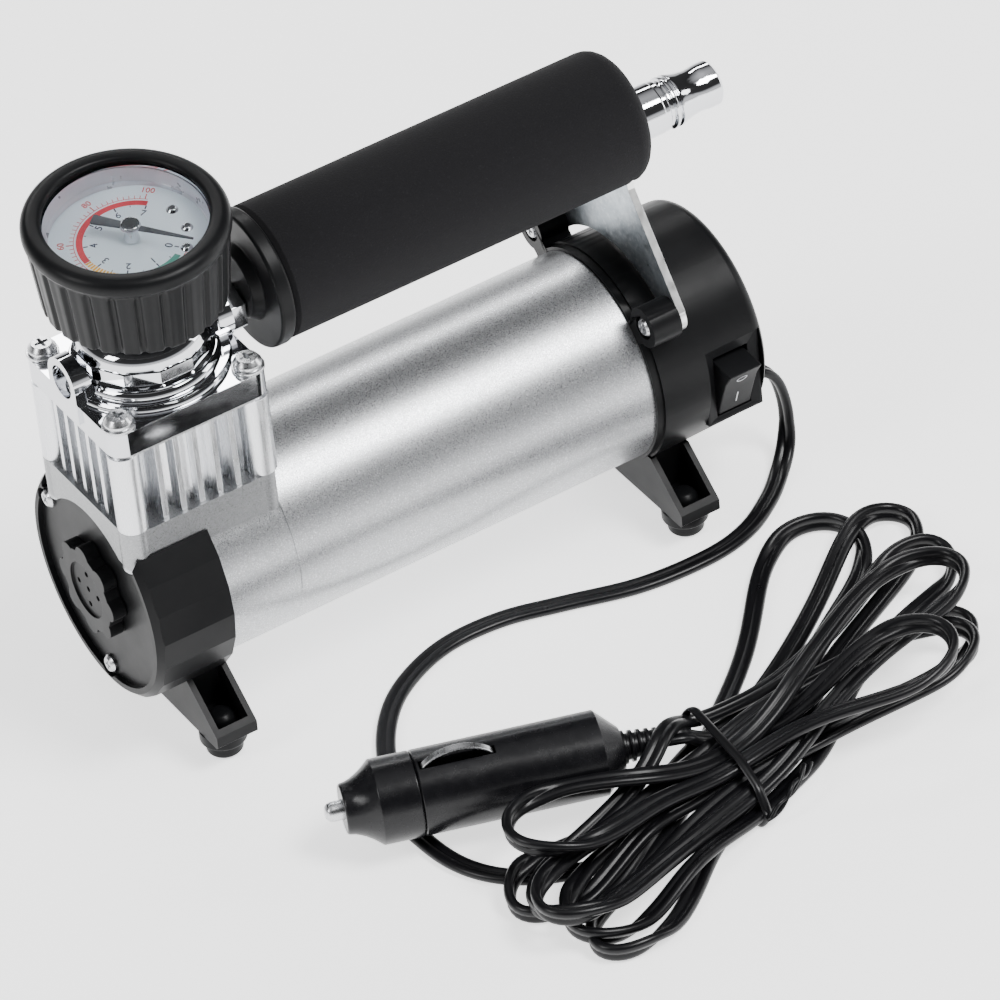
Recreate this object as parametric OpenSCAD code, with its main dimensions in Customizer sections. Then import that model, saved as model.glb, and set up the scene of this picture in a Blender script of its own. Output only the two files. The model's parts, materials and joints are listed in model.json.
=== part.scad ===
// Portable tire inflator: a 12 V motor drives a finned single-cylinder pump under a dial gauge.
// A foam grip carries the air line to a quick-connect plug; a flat cord ends in a vehicle plug.
// Inside each module x runs from the gearbox seam to the switch end, and z from the motor axis.
// place() then moves all of it to the middle of the base, with z = 0 under the feet.

/* [Motor] */
// Outside diameter of the motor can
can_d = 55; // [48:0.5:64]
// Length of the can, measured from the gearbox seam
can_l = 106; // [90:1:130]
// Height of the motor axis above the floor
axis_h = 43; // [38:0.5:55]

/* [Rear cap] */
// Outside diameter of the rear cap
cap_d = 58; // [52:0.5:68]
// Where the rear cap's collar starts
cap_x0 = 101.6; // [90:0.1:130]
// Length of the rear cap
cap_l = 33; // [28:0.5:45]

/* [Pump] */
// Bore of the cylinder
bore_d = 30; // [20:0.5:34]
// Throw of the crank; the stroke is twice this
crank_throw = 5; // [3:0.5:6]
// Width of the finned cylinder
cyl_w = 40.6; // [36:0.2:46]
// Width of the head plate
head_w = 43; // [40:0.5:48]
// Height of the head plate's top above the motor axis
head_top = 58; // [54:0.5:66]
// Fins on each side of the cylinder
fin_n = 5; // [3:1:7]
// Radius of the open port at the front of the head
port_r = 4.3; // [3:0.1:5]

/* [Gauge] */
// Outside diameter of the rubber boot
boot_d = 49.2; // [44:0.2:60]
// Ribs around the boot
boot_ribs = 25; // [16:1:40]
// Height of the boot's rim above the motor axis, measured along the gauge's own axis
gauge_top = 104.5; // [96:0.5:112]
// How far the gauge leans towards the user
gauge_lean = 6.5; // [0:0.5:12]
// Sweep of the needle
needle_sweep = 270; // [180:10:300]

/* [Handle] */
// Height of the handle's axis above the motor axis
handle_z = 67.8; // [60:0.2:80]
// Outside diameter of the foam grip
foam_d = 34; // [28:0.5:40]
// Length of the foam grip
foam_l = 102.5; // [90:0.5:120]
// End of the quick-connect plug
qc_end = 142; // [130:0.5:150]
// Radius of the quick-connect plug at its nose
qc_r = 5.8; // [4:0.1:7]

/* [Legs] */
// Half the width across the legs
leg_reach = 32.6; // [28:0.2:40]
// Width of a leg along the motor
leg_w = 11.2; // [8:0.2:16]
// Half the distance between the feet
foot_y = 25; // [18:0.5:30]

/* [Vehicle plug] */
// Diameter of the vehicle plug's barrel
vp_d = 20.8; // [20:0.1:21.5]
// Length of the plug from nose face to barrel end
vp_l = 67.8; // [50:0.2:80]
// Travel of the plug's centre pin
pin_travel = 2.5; // [1:0.1:4]

/* [Cord] */
// Width of the flat twin cord
cord_w = 5; // [3.5:0.1:6]
// Thickness of the flat twin cord
cord_t = 2.4; // [2:0.1:3.5]
// Height of the coiled hank
hank_h = 20; // [14:1:30]

/* [Hidden] */
$fn = 64;
gap = 0.3;
fit = 0.05;
can_r = can_d / 2;
can_wall = 1.6;
can_in = can_r - can_wall;
cap_r = cap_d / 2;
cap_x1 = cap_x0 + cap_l;
cap_wall = 2.4;
cap_in = cap_r - cap_wall;

// front end: cover, casting and cylinder
cover_x0 = -41;
cover_x1 = -20;
cover_r = 29.9;
cover_sides = 24;
cover_bevel = 2.4;
cover_in = can_r + 0.2;
face_t = 1.6;
face_x = cover_x0 + 1.5;
rim_r = 26.8;
disc_r = 22.3;
case_x0 = face_x + face_t + 0.1;
case_in = 22.5;
case_wall = 3.5;
cyl_x = -19.4;
deck_z0 = 17.3;
deck_z1 = 28;
deck_w = 42.4;
cyl_z1 = 50.4;
valve_t = 1;
head_z0 = cyl_z1 + valve_t;
post = 17.7;
post_r = 3.8;
bore_r = bore_d / 2;
liner_r = bore_r + 1.6;
fin_t = 1.5;
fin_pitch = 5;
screw_r = 1.9;
cover_screw_r = 24.8;
cover_screw_angles = [270, 32];
snap_angle = 152.5;
snap_slot = [23.6, 0.8, 4.8];

// crank train
shaft_r = 2.5;
web_x0 = -12;
web_x1 = -8;
pin_x0 = -15.4;
rod_x0 = -22.8;
rod_x1 = -16;
rod_mid = (rod_x0 + rod_x1) / 2;
piston_z = 44;

// gauge
boot_r = boot_d / 2;
boot_z0 = gauge_top - 24.8;
boot_taper = 2.3;
lean_way = -113.5;
lean_z = 64;
lip_r = 19.5;
case_r = 20.6;
dial_z = gauge_top - 9;
needle_z = dial_z + 3.9;
needle_t = 0.4;
pivot_off = 1;
staff_r = 0.7;
lens_z0 = gauge_top - 3.2;
needle_zero = -52;
base_r = 16.6;
neck_r0 = 11.2;

// head rings, port and outlet
ring1_r = 20.2;
ring2_r = 17.4;
ring1_z = head_top + 1.8;
ring2_z = head_top + 4.2;
duct_z = head_top + 4.4;
port_x = -41.6;
port_boss_r = 6.3;
out_x = 2.1;
port_l = 3.2;
duct_r = 2.4;
duct_low = 58.8;
stub_x = -0.7;

// handle
flange_x = 9;
plenum_x = 11;
foam_x0 = 13;
foam_x1 = foam_x0 + foam_l;
foam_r = foam_d / 2;
tube_r = 6;
tube_z = handle_z - 3.7;
brk_x0 = 109.5;
brk_t = 2;
brk_y = 25.2;
brk_z = 23.4;
boss_r = 5.3;
sink_l = 1.5;
boss_x0 = brk_x0 - 8;

// switch
sw_x = 125.2;
sw_y = -22;
sw_z = -3;
sw_half_x = 8;
sw_half_z = 11.7;
sw_face = -24.6;
rocker_w = 9.4;
mouth_z = [-10.3, 7.8];
pivot_r = 1.2;
pivot_half = 6.4;

// legs and feet
leg_z = -35.6;
leg_floor = 2;
leg_front_x = -30.6;
leg_rear_x = 103.2;
foot_r = 5.9;
tip_r = 4.6;

// cord, hank and vehicle plug
floor_z = -axis_h;
gland_x = cap_x1 + 4;
gland_y = -12;
gland_z = -17;
gland_r = 4.6;
gland_neck = 3.5;
vp_r = vp_d / 2;
vp_tip = [-25.6, -74, -29.3];
vp_turn = -19.35;
vp_face = 4.4;
vp_flare = 12.5;
vp_seam = 22.4;
seam_w = 0.35;
seam_d = 0.35;
vp_end = vp_face + vp_l;
relief_l = 9.4;
clip_roll = 192;
clip_mid = 32.6;
clip_span = 8.85;
clip_w = 1.6;
clip_gap = 0.4;
barrel_bore = 4.2;
spigot_r = 8;
spigot_z = 17;
fuse_gap = 0.1;
fuse_z = 11;
fuse_l = 25;
bore_end = 54;
tie_x = 62;
cord_z = floor_z + cord_t / 2;
drop_n = 4;

filter_out = 2.5;
boot_x0 = cyl_x - boot_r + (gauge_top - 2.4 - lean_z) * sin(gauge_lean) * cos(lean_way);
mid_x = (boot_x0 + qc_end) / 2;

module place() translate([-mid_x, 0, axis_h]) children();

// a shape drawn along z is laid along x, starting at x0
module along_x(x0) translate([x0, 0, 0]) rotate([0, 90, 0]) children();

module rod_x(r, x0, x1) along_x(x0) cylinder(r = r, h = x1 - x0);

module tube_x(r, ri, x0, x1) {
    difference() {
        rod_x(r, x0, x1);
        rod_x(ri, x0 - 1, x1 + 1);
    }
}

// a profile drawn in y and z is laid across the motor, from x0 to x0 + w
module across(x0, w) {
    translate([x0, 0, 0])
        rotate([90, 0, 90])
            linear_extrude(height = w)
                children();
}

// points are [distance along x, radius]
module turned_x(points) along_x(0) rotate_extrude() polygon([for (q = points) [q[1], q[0]]]);

module ring_z(r, ri, z0, z1) {
    translate([0, 0, z0])
        difference() {
            cylinder(r = r, h = z1 - z0);
            translate([0, 0, -1]) cylinder(r = ri, h = z1 - z0 + 2);
        }
}

module box(a, b) translate(a) cube(b - a);

module at_posts() {
    for (sx = [-1, 1], sy = [-1, 1])
        translate([cyl_x + sx * post, sy * post, 0])
            children();
}

module at_gauge() translate([cyl_x, 0, 0]) children();

// the gauge's own axis, which leans from a point inside its base
module at_dial() {
    translate([cyl_x, 0, lean_z])
        rotate([0, 0, lean_way])
            rotate([0, gauge_lean, 0])
                rotate([0, 0, -lean_way])
                    translate([0, 0, -lean_z])
                        children();
}

// ---- motor ----
module motor_can() color("silver") place() tube_x(can_r, can_in, 0, can_l);

module magnets() {
    magnet_in = 16.2;
    gap_w = 9;
    color("dimgray") place()
        difference() {
            tube_x(can_in - fit, magnet_in, 8, 70);
            box([7, -gap_w, -can_r], [71, gap_w, can_r]);
        }
}

module end_plate() {
    color("gray") place()
        difference() {
            union() {
                rod_x(can_in - fit, 97, 100);
                rod_x(8, 93, 97.5);
            }
            rod_x(5.5, 92, 101);
        }
}

module shaft_bearings() {
    color("goldenrod") place() {
        tube_x(5.45, shaft_r + fit, -3.4, 1.5);
        tube_x(5.45, shaft_r + fit, 93.5, 99.5);
    }
}

module brushes() {
    brush_x = 78;
    color("darkslategray") place()
        for (s = [0, 180])
            rotate([s, 0, 0])
                box([brush_x, -2.5, 6.8], [brush_x + 6, 2.5, 15]);
}

module rotor_shaft() color("lightsteelblue") place() rod_x(shaft_r, -8, 99);

module rotor_core() {
    slots = 10;
    core_r = 15.2;
    color("slategray") place()
        difference() {
            rod_x(core_r, 14, 62);
            rod_x(shaft_r, 13, 63);
            for (i = [0 : slots - 1])
                rotate([i * 360 / slots, 0, 0])
                    box([13, -0.8, 12], [63, 0.8, core_r + 1]);
        }
}

module rotor_windings() {
    color("chocolate") place() {
        turned_x([[6, 5], [5, 9], [8, 13], [13.9, 13.4], [13.9, 5]]);
        turned_x([[62.1, 5], [62.1, 13.4], [68, 13], [71, 9], [70, 5]]);
    }
}

module commutator() {
    bars = 10;
    color("peru") place()
        difference() {
            rod_x(6.4, 75, 87);
            rod_x(shaft_r, 74, 88);
            for (i = [0 : bars - 1])
                rotate([(i + 0.5) * 360 / bars, 0, 0])
                    box([74, -0.25, 5.6], [88, 0.25, 7]);
        }
}

// ---- crank train ----
module crank_web() {
    web_r = 12;
    weight_r = 17;
    color("slategray") place()
        difference() {
            union() {
                rod_x(web_r, web_x0, web_x1);
                intersection() {
                    rod_x(weight_r, web_x0, web_x1);
                    box([web_x0 - 1, -weight_r, -weight_r], [web_x1 + 1, weight_r, -3]);
                }
            }
            rod_x(shaft_r, web_x1 - 2, web_x1 + 1);
            translate([0, 0, crank_throw]) rod_x(3, web_x0 - 1, web_x0 + 3);
        }
}

module crank_pin() {
    color("lightsteelblue") place()
        translate([0, 0, crank_throw])
            rod_x(3, pin_x0, web_x0 + 3);
}

module rod_bearing() {
    color("silver") place()
        translate([0, 0, crank_throw])
            tube_x(7, 3.6, rod_x0 + 0.4, rod_x1 - 0.2);
}

module connecting_rod() {
    big_r = 9.6;
    shank_w = 9;
    shank_t = 5;
    color("gainsboro") place()
        difference() {
            union() {
                translate([0, 0, crank_throw]) rod_x(big_r, rod_x0, rod_x1);
                box([rod_mid - shank_t / 2, -shank_w / 2, crank_throw],
                    [rod_mid + shank_t / 2, shank_w / 2, piston_z - 2]);
                translate([rod_mid, 0, piston_z - 4]) cylinder(r = 12, h = 4);
            }
            translate([0, 0, crank_throw]) rod_x(7, rod_x0 - 1, rod_x1 + 1);
            translate([rod_mid, 0, piston_z - 8]) cylinder(r = 1.5, h = 9);
        }
}

module piston_cup() {
    cup_h = 3;
    color("ivory") place()
        translate([rod_mid, 0, piston_z])
            difference() {
                cylinder(r = bore_r - fit, h = cup_h);
                translate([0, 0, 1]) cylinder(r = bore_r - 1.2, h = cup_h);
                translate([0, 0, -1]) cylinder(r = 1.5, h = cup_h);
            }
}

module cup_retainer() {
    color("gray") place()
        translate([rod_mid, 0, piston_z + 1])
            difference() {
                cylinder(r = 12.5, h = 2);
                translate([0, 0, -1]) cylinder(r = 1.5, h = 4);
            }
}

module retainer_screw() {
    color("silver") place()
        translate([rod_mid, 0, piston_z]) {
            translate([0, 0, 3]) cylinder(r1 = 3.2, r2 = 2.6, h = 1.6);
            translate([0, 0, -7]) cylinder(r = 1.5, h = 10);
        }
}

// ---- casting, cover and legs ----
module crankcase() {
    half = deck_w / 2;
    color("silver") place()
        difference() {
            union() {
                rod_x(can_r, case_x0, -fit);
                box([cyl_x - half, -half + 3, deck_z0], [-fit, half - 3, deck_z1]);
                box([cyl_x - half + 3, -half, deck_z0], [-3, half, deck_z1]);
                intersection() {
                    at_posts() translate([0, 0, deck_z0 - 1.2]) cylinder(r = post_r, h = deck_z1 - deck_z0 + 1.2);
                    box([-60, -30, 0], [-fit, 30, deck_z1]);
                }
            }
            rod_x(case_in, case_x0 - 1, -case_wall);
            rod_x(disc_r + gap, cover_x0 - 1, case_x0);
            rod_x(5.5, -case_wall - 1, 1);
            translate([cyl_x, 0, 0]) cylinder(r = liner_r + fit, h = deck_z1 + 1);
            at_posts() translate([0, 0, 20]) cylinder(r = screw_r + fit, h = 9);
            for (a = cover_screw_angles)
                rotate([a, 0, 0])
                    translate([0, cover_screw_r, 0])
                        rod_x(1.3, case_x0 - 1, case_x0 + 8);
        }
}

// regular prism of n sides along x
module prism_x(r, n, x0, x1) {
    across(x0, x1 - x0)
        polygon([for (i = [0 : n - 1]) [r * cos(360 * i / n), r * sin(360 * i / n)]]);
}

// the beam under a cover, with an open pocket over each foot
module legs(x0, clear_r) {
    root = [20.3, -21.3];
    lip = 1.4;
    pocket_in = 18.6;
    side = 1.5;
    difference() {
        across(x0, leg_w)
            polygon([
                [-root[0], root[1]], [-leg_reach, -31.8], [-leg_reach, leg_z + 0.8],
                [-leg_reach + 0.8, leg_z], [leg_reach - 0.8, leg_z], [leg_reach, leg_z + 0.8],
                [leg_reach, -31.8], root
            ]);
        for (s = [0, 1])
            mirror([0, s, 0])
                box([x0 + side, -leg_reach + lip, leg_z + leg_floor], [x0 + leg_w - side, -pocket_in, 0]);
        for (s = [-1, 1])
            translate([x0 + leg_w / 2, s * foot_y, leg_z - 1])
                cylinder(r = 2.05, h = leg_floor + 2);
        rod_x(clear_r, x0 - 1, x0 + leg_w + 1);
    }
}

module front_cover() {
    notch = deck_w / 2 + gap;
    color("#26272a") place()
        union() {
            difference() {
                intersection() {
                    prism_x(cover_r, cover_sides, cover_x0, cover_x1);
                    union() {
                        rod_x(cover_r + 1, cover_x0 + cover_bevel, cover_x1);
                        along_x(cover_x0) cylinder(r1 = cover_r - 1.6, r2 = cover_r + 0.6, h = cover_bevel);
                    }
                }
                rod_x(cover_in, face_x + face_t, cover_x1 + 1);
                rod_x(rim_r, cover_x0 - 1, face_x);
                rod_x(10, face_x - 1, face_x + face_t + 1);
                difference() {
                    box([cover_x0 - 1, -notch, deck_z0 - gap], [cover_x1 + 1, notch, 40]);
                    rod_x(disc_r, cover_x0 - 1, case_x0 - 0.05);
                }
                intersection() {
                    at_posts() translate([0, 0, deck_z0 - 1.6]) cylinder(r = post_r + gap, h = 20);
                    difference() {
                        box([cover_x0 - 1, -40, 0], [cover_x1, 40, 40]);
                        rod_x(disc_r, cover_x0 - 1, case_x0 - 0.05);
                    }
                }
                rotate([snap_angle, 0, 0])
                    box([face_x - 1, snap_slot[0], -snap_slot[2] / 2],
                        [face_x + 1, snap_slot[0] + snap_slot[1], snap_slot[2] / 2]);
                for (a = cover_screw_angles)
                    rotate([a, 0, 0])
                        translate([0, cover_screw_r, 0]) {
                            rod_x(3.2, cover_x0 - 1, face_x);
                            rod_x(1.5, cover_x0 - 1, case_x0 + 1);
                        }
            }
            legs(leg_front_x, cover_in);
        }
}

// pan head with a cross recess, head towards -z
module pan_screw(head_r, head_h, shank_r, shank_l) {
    difference() {
        union() {
            translate([0, 0, -head_h]) cylinder(r1 = head_r * 0.72, r2 = head_r, h = head_h * 0.55);
            translate([0, 0, -head_h * 0.45]) cylinder(r = head_r, h = head_h * 0.45);
            cylinder(r = shank_r, h = shank_l);
        }
        for (t = [0, 90])
            rotate([0, 0, t])
                box([-head_r * 0.5, -head_r * 0.12, -head_h - 1], [head_r * 0.5, head_r * 0.12, -head_h * 0.45]);
    }
}

module cover_screws() {
    color("silver") place()
        for (a = cover_screw_angles)
            rotate([a, 0, 0])
                translate([face_x, cover_screw_r, 0])
                    rotate([0, 90, 0])
                        pan_screw(2.4, 1.4, 1.2, 8);
}

module feet() {
    color("#1c1c1d") place()
        for (x = [leg_front_x, leg_rear_x], s = [-1, 1])
            translate([x + leg_w / 2, s * foot_y, 0])
                rotate_extrude()
                    polygon([
                        [0, floor_z], [tip_r - 1, floor_z], [tip_r, floor_z + 1], [tip_r, leg_z - 3.6],
                        [foot_r, leg_z - 3.2], [foot_r, leg_z], [2, leg_z], [2, leg_z + leg_floor],
                        [3.6, leg_z + leg_floor], [3.4, leg_z + leg_floor + 1.4],
                        [2.3, leg_z + leg_floor + 2.5], [0, leg_z + leg_floor + 3]
                    ]);
}

// ---- filter ----
module filter_cap() {
    lobes = 8;
    lobe_at = 9.8;
    cap_face = cover_x0 - filter_out;
    color("#2b2c2f") place()
        difference() {
            union() {
                across(cap_face, face_x - gap - cap_face)
                    union() {
                        circle(r = 10.9);
                        for (i = [0 : lobes - 1])
                            rotate(i * 360 / lobes)
                                translate([lobe_at, 0])
                                    circle(r = 3);
                    }
                rod_x(9.95, face_x - 1, face_x + face_t - 0.2);
            }
            rod_x(8.6, face_x - 2, face_x + face_t + 1);
            rod_x(7.4, cap_face - 1, cap_face + 0.6);
            for (q = [[0, 0], [4.5, 0], [-4.5, 0], [0, 4.5], [0, -4.5]])
                translate([0, q[0], q[1]])
                    rod_x(0.7, cap_face - 1, face_x);
        }
}

module filter_foam() color("gray") place() rod_x(8.4, face_x - 1.9, face_x + face_t - 0.4);

// ---- cylinder and head ----
module fin_section() {
    difference() {
        union() {
            circle(r = liner_r + 0.8);
            for (t = [0, 90], i = [0 : fin_n - 1])
                rotate(t)
                    translate([(i - (fin_n - 1) / 2) * fin_pitch - fin_t / 2, -cyl_w / 2])
                        square([fin_t, cyl_w]);
            for (t = [45, 135])
                rotate(t)
                    translate([-post * sqrt(2), -1.6])
                        square([2 * post * sqrt(2), 3.2]);
            for (sx = [-1, 1], sy = [-1, 1])
                translate([sx * post, sy * post])
                    circle(r = post_r);
        }
        circle(r = bore_r);
        for (sx = [-1, 1], sy = [-1, 1])
            translate([sx * post, sy * post])
                circle(r = screw_r + 0.2);
    }
}

module cylinder_block() {
    color("whitesmoke") place() {
        translate([cyl_x, 0, deck_z1])
            linear_extrude(height = cyl_z1 - deck_z1)
                fin_section();
        translate([cyl_x, 0, 0]) ring_z(liner_r, bore_r, deck_z1 - 4, deck_z1 + 0.5);
    }
}

module plate_outline(w, r) {
    h = w / 2;
    square([w - 2 * r, w], center = true);
    square([w, w - 2 * r], center = true);
    for (sx = [-1, 1], sy = [-1, 1])
        translate([sx * (h - r), sy * (h - r)])
            circle(r = r);
}

module valve_plate() {
    color("silver") place()
        translate([cyl_x, 0, cyl_z1])
            difference() {
                linear_extrude(height = valve_t) plate_outline(cyl_w + 1.4, 4);
                for (sx = [-1, 1], sy = [-1, 1])
                    translate([sx * post, sy * post, -1])
                        cylinder(r = screw_r + 0.2, h = valve_t + 2);
                for (x = [-6, 6])
                    translate([x, 0, -1])
                        cylinder(r = 2, h = valve_t + 2);
            }
}

module cylinder_head() {
    color("#d6d9dd") place()
        difference() {
            union() {
                translate([cyl_x, 0, head_z0])
                    linear_extrude(height = head_top - head_z0)
                        plate_outline(head_w, 4.2);
                translate([cyl_x, 0, head_top - 1]) cylinder(r = ring1_r, h = ring1_z - head_top + 1);
                translate([cyl_x, 0, head_top - 1]) cylinder(r = ring2_r, h = ring2_z - head_top + 1);
                translate([0, 0, duct_z]) rod_x(port_boss_r, port_x, cyl_x);
                translate([0, 0, duct_z]) rod_x(port_boss_r, cyl_x, out_x);
                box([port_x, -port_boss_r, head_z0 + 2], [cyl_x - 12, port_boss_r, duct_z]);
            }
            translate([cyl_x, 0, head_z0 - 1]) cylinder(r = 13, h = 4);
            translate([cyl_x, 0, head_z0]) cylinder(r = 4, h = 20);
            translate([0, 0, duct_z]) rod_x(port_r, port_x - 1, port_x + port_l);
            translate([0, 0, duct_low]) rod_x(duct_r, port_x + port_l - 1, stub_x);
            translate([0, 0, duct_z]) rod_x(3, stub_x, out_x + 1);
            translate([cyl_x, 0, ring2_z]) cylinder(r = base_r + 2, h = 20);
            at_posts() {
                translate([0, 0, head_z0 - 1]) cylinder(r = screw_r + 0.2, h = 20);
                translate([0, 0, head_top]) cylinder(r = 4.3, h = 20);
            }
        }
}

module head_washers() {
    color("lightgray") place()
        at_posts() ring_z(4, screw_r + 0.2, head_top, head_top + 0.8);
}

module head_screws() {
    color("silver") place()
        at_posts()
            translate([0, 0, head_top + 0.8])
                mirror([0, 0, 1])
                    pan_screw(3.5, 2.4, screw_r, head_top - 20);
}

// ---- gauge ----
module gauge_base() {
    hex_z0 = ring2_z;
    hex_z1 = hex_z0 + 4.8;
    dome_r = 4.2;
    dome_z = hex_z1 + 2.6;
    neck_r = 11;
    duct = 1.5;
    color("#d6d9dd") place()
        difference() {
            union() {
                at_gauge() {
                    translate([0, 0, hex_z0]) cylinder(r = base_r, h = hex_z1 - hex_z0, $fn = 12);
                    rotate_extrude()
                        polygon(concat(
                            [[0, hex_z1 - 0.5], [base_r, hex_z1 - 0.5]],
                            [for (a = [0 : 15 : 90]) [base_r - dome_r + dome_r * cos(a), dome_z + dome_r * sin(a)]],
                            [[0, dome_z + dome_r]]
                        ));
                    translate([0, 0, head_z0 + 4]) cylinder(r = 4 - fit, h = hex_z0 - head_z0 - 3);
                }
                at_dial() translate([0, 0, hex_z1 + 2]) cylinder(r = neck_r, h = boot_z0 + 2 - hex_z1 - 2);
            }
            at_gauge() {
                translate([0, 0, head_z0]) cylinder(r = duct, h = lean_z - head_z0 + 0.5);
                translate([0, 0, duct_low]) rod_x(duct, -5, 5);
            }
            at_dial() translate([0, 0, lean_z - 0.5]) cylinder(r = duct, h = boot_z0 - lean_z + 10);
        }
}

module gauge_case() {
    floor_t = 1.2;
    z0 = boot_z0 + 2;
    color("gainsboro") place() at_dial()
        difference() {
            translate([0, 0, z0]) cylinder(r = case_r, h = lens_z0 - z0);
            translate([0, 0, z0 + floor_t]) cylinder(r = case_r - 1, h = 40);
            translate([0, 0, z0 - 1]) cylinder(r = 1.5, h = 4);
        }
}

module gauge_boot() {
    rim_z = gauge_top - 4.6;
    groove_r = 1.1;
    groove_out = 0.3;
    foot_r0 = boot_r - boot_taper;
    slope = atan2(boot_taper - 0.6, rim_z - boot_z0);
    color("#232427") place() at_dial()
        difference() {
            rotate_extrude()
                polygon([
                    [neck_r0, boot_z0], [foot_r0 - 0.6, boot_z0], [foot_r0, boot_z0 + 0.6],
                    [boot_r - 0.6, rim_z], [boot_r, rim_z + 0.9], [boot_r, gauge_top - 2.4],
                    [boot_r - 0.7, gauge_top - 0.9], [boot_r - 2, gauge_top], [boot_r - 3.4, gauge_top],
                    [lip_r + 0.6, gauge_top - 0.7], [lip_r, gauge_top - 1.4], [case_r + fit, gauge_top - 1.4],
                    [case_r + fit, boot_z0 + 2], [neck_r0, boot_z0 + 2]
                ]);
            for (i = [0 : boot_ribs - 1])
                rotate([0, 0, i * 360 / boot_ribs])
                    translate([foot_r0 + groove_out, 0, boot_z0 - 1])
                        rotate([0, slope, 0])
                            cylinder(r = groove_r, h = rim_z - boot_z0 - 1);
        }
}

module gauge_dial() {
    thick = 0.6;
    rim = 1.1;
    color("#e8eff6") place() at_dial()
        difference() {
            translate([0, 0, dial_z - thick]) cylinder(r = case_r - rim, h = thick);
            translate([pivot_off, 0, dial_z - 2 * thick]) cylinder(r = staff_r + 0.4, h = 3 * thick);
        }
}

module dial_screws() {
    ring_r = 14;
    color("silver") place() at_dial()
        for (a = [12, -18, -46])
            rotate([0, 0, a])
                translate([ring_r, 0, dial_z])
                    cylinder(r1 = 1.6, r2 = 0.9, h = 0.8);
}

module gauge_lens() {
    color([0.85, 0.92, 0.95, 0.35]) place() at_dial()
        translate([0, 0, lens_z0])
            cylinder(r = case_r, h = 1.7);
}

module gauge_needle() {
    tail = 9.6;
    tail_w = 1.5;
    tip = 15.6;
    tip_w = 0.2;
    waist = 0.9;
    half = [[-tail, -tail_w + 0.2], [-tail + 0.4, -tail_w], [0, -waist], [tip, -tip_w]];
    color("#3a3d42") place() at_dial()
        translate([pivot_off, 0, needle_z])
            difference() {
                rotate([0, 0, needle_zero])
                    linear_extrude(height = needle_t)
                        polygon(concat(half, [for (k = [len(half) - 1 : -1 : 0]) [half[k][0], -half[k][1]]]));
                translate([0, 0, -1]) cylinder(r = staff_r, h = 3);
            }
}

module needle_hub() {
    disc_h = 0.9;
    color("silver") place() at_dial()
        translate([pivot_off, 0, 0]) {
            translate([0, 0, dial_z - 3]) cylinder(r = staff_r, h = needle_z - dial_z + 3 + needle_t);
            translate([0, 0, dial_z + gap]) cylinder(r1 = 2, r2 = 1.2, h = needle_z - dial_z - gap);
            translate([0, 0, needle_z + needle_t]) cylinder(r1 = 2.6, r2 = 2.2, h = disc_h);
        }
}

// ---- air line and handle ----
module outlet_nut() {
    nut_x0 = out_x;
    nut_x1 = out_x + 4;
    color("#d6d9dd") place()
        translate([0, 0, duct_z])
            difference() {
                along_x(nut_x0) cylinder(r = 6.2, h = nut_x1 - nut_x0, $fn = 6);
                rod_x(3.05, nut_x0 - 1, nut_x1 + 1);
            }
}

module outlet_tube() color("silver") place() translate([0, 0, duct_z]) tube_x(3, 2, stub_x, plenum_x);

module handle_flange() {
    hub_r = 10;
    hub_x = 6.4;
    sleeve_l = 6;
    color("#202124") place()
        difference() {
            union() {
                translate([0, 0, handle_z])
                    turned_x([
                        [hub_x, 0], [hub_x, hub_r - 1.5], [flange_x, hub_r], [flange_x, foam_r],
                        [flange_x + 0.5, foam_r + 0.5], [foam_x0 - 0.5, foam_r + 0.5], [foam_x0, foam_r], [foam_x0, 0]
                    ]);
                translate([0, 0, tube_z]) rod_x(tube_r + 2, foam_x0 - 1, foam_x0 + sleeve_l);
            }
            translate([0, 0, tube_z]) rod_x(tube_r, plenum_x, foam_x0 + sleeve_l + 1);
            translate([0, 0, duct_z]) rod_x(3 + fit, hub_x - 0.4, plenum_x + 0.1);
        }
}

module handle_tube() {
    color("silver") place()
        translate([0, 0, tube_z])
            tube_x(tube_r, tube_r - 1.5, foam_x0 + 0.2, foam_x1);
}

module foam_grip() {
    round = 5;
    soft = 1.5;
    slit = [13.5, 9.5];
    color("#18191b") place()
        difference() {
            translate([0, 0, handle_z])
                turned_x(concat(
                    [[foam_x0, 0], [foam_x0, foam_r - soft], [foam_x0 + soft, foam_r]],
                    [for (a = [0 : 15 : 90]) [foam_x1 - round + round * sin(a), foam_r - round + round * cos(a)]],
                    [[foam_x1, 0]]
                ));
            translate([0, 0, tube_z]) rod_x(tube_r + fit, foam_x0 - 1, foam_x1 + 1);
            translate([0, 0, tube_z]) rod_x(tube_r + 2 + fit, foam_x0 - 1, foam_x0 + 6 + fit);
            box([brk_x0 - 0.2, -slit[0], 40], [brk_x0 + brk_t + 0.2, slit[0], tube_z + slit[1]]);
        }
}

module quick_plug() {
    x0 = foam_x1 + 0.1;
    bore = 3;
    base = 6.7;
    neck = 5.9;
    groove = 6.1;
    waist = 5.55;
    color("#d6d9dd") place()
        translate([0, 0, tube_z])
            turned_x([
                [x0, bore], [x0, base], [x0 + 8.9, base], [x0 + 9.1, base - 0.15], [x0 + 10.4, base - 0.15],
                [x0 + 10.8, neck], [x0 + 11.8, neck], [x0 + 12.1, base], [x0 + 12.9, base],
                [x0 + 13.2, groove], [x0 + 13.6, groove], [x0 + 13.9, base], [x0 + 14.6, base - 0.1],
                [x0 + 17, waist + 0.4], [x0 + 19.4, waist], [x0 + 21, waist], [x0 + 23.2, qc_r],
                [qc_end - 0.8, qc_r], [qc_end, qc_r - 0.8], [qc_end, bore]
            ]);
}

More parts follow.
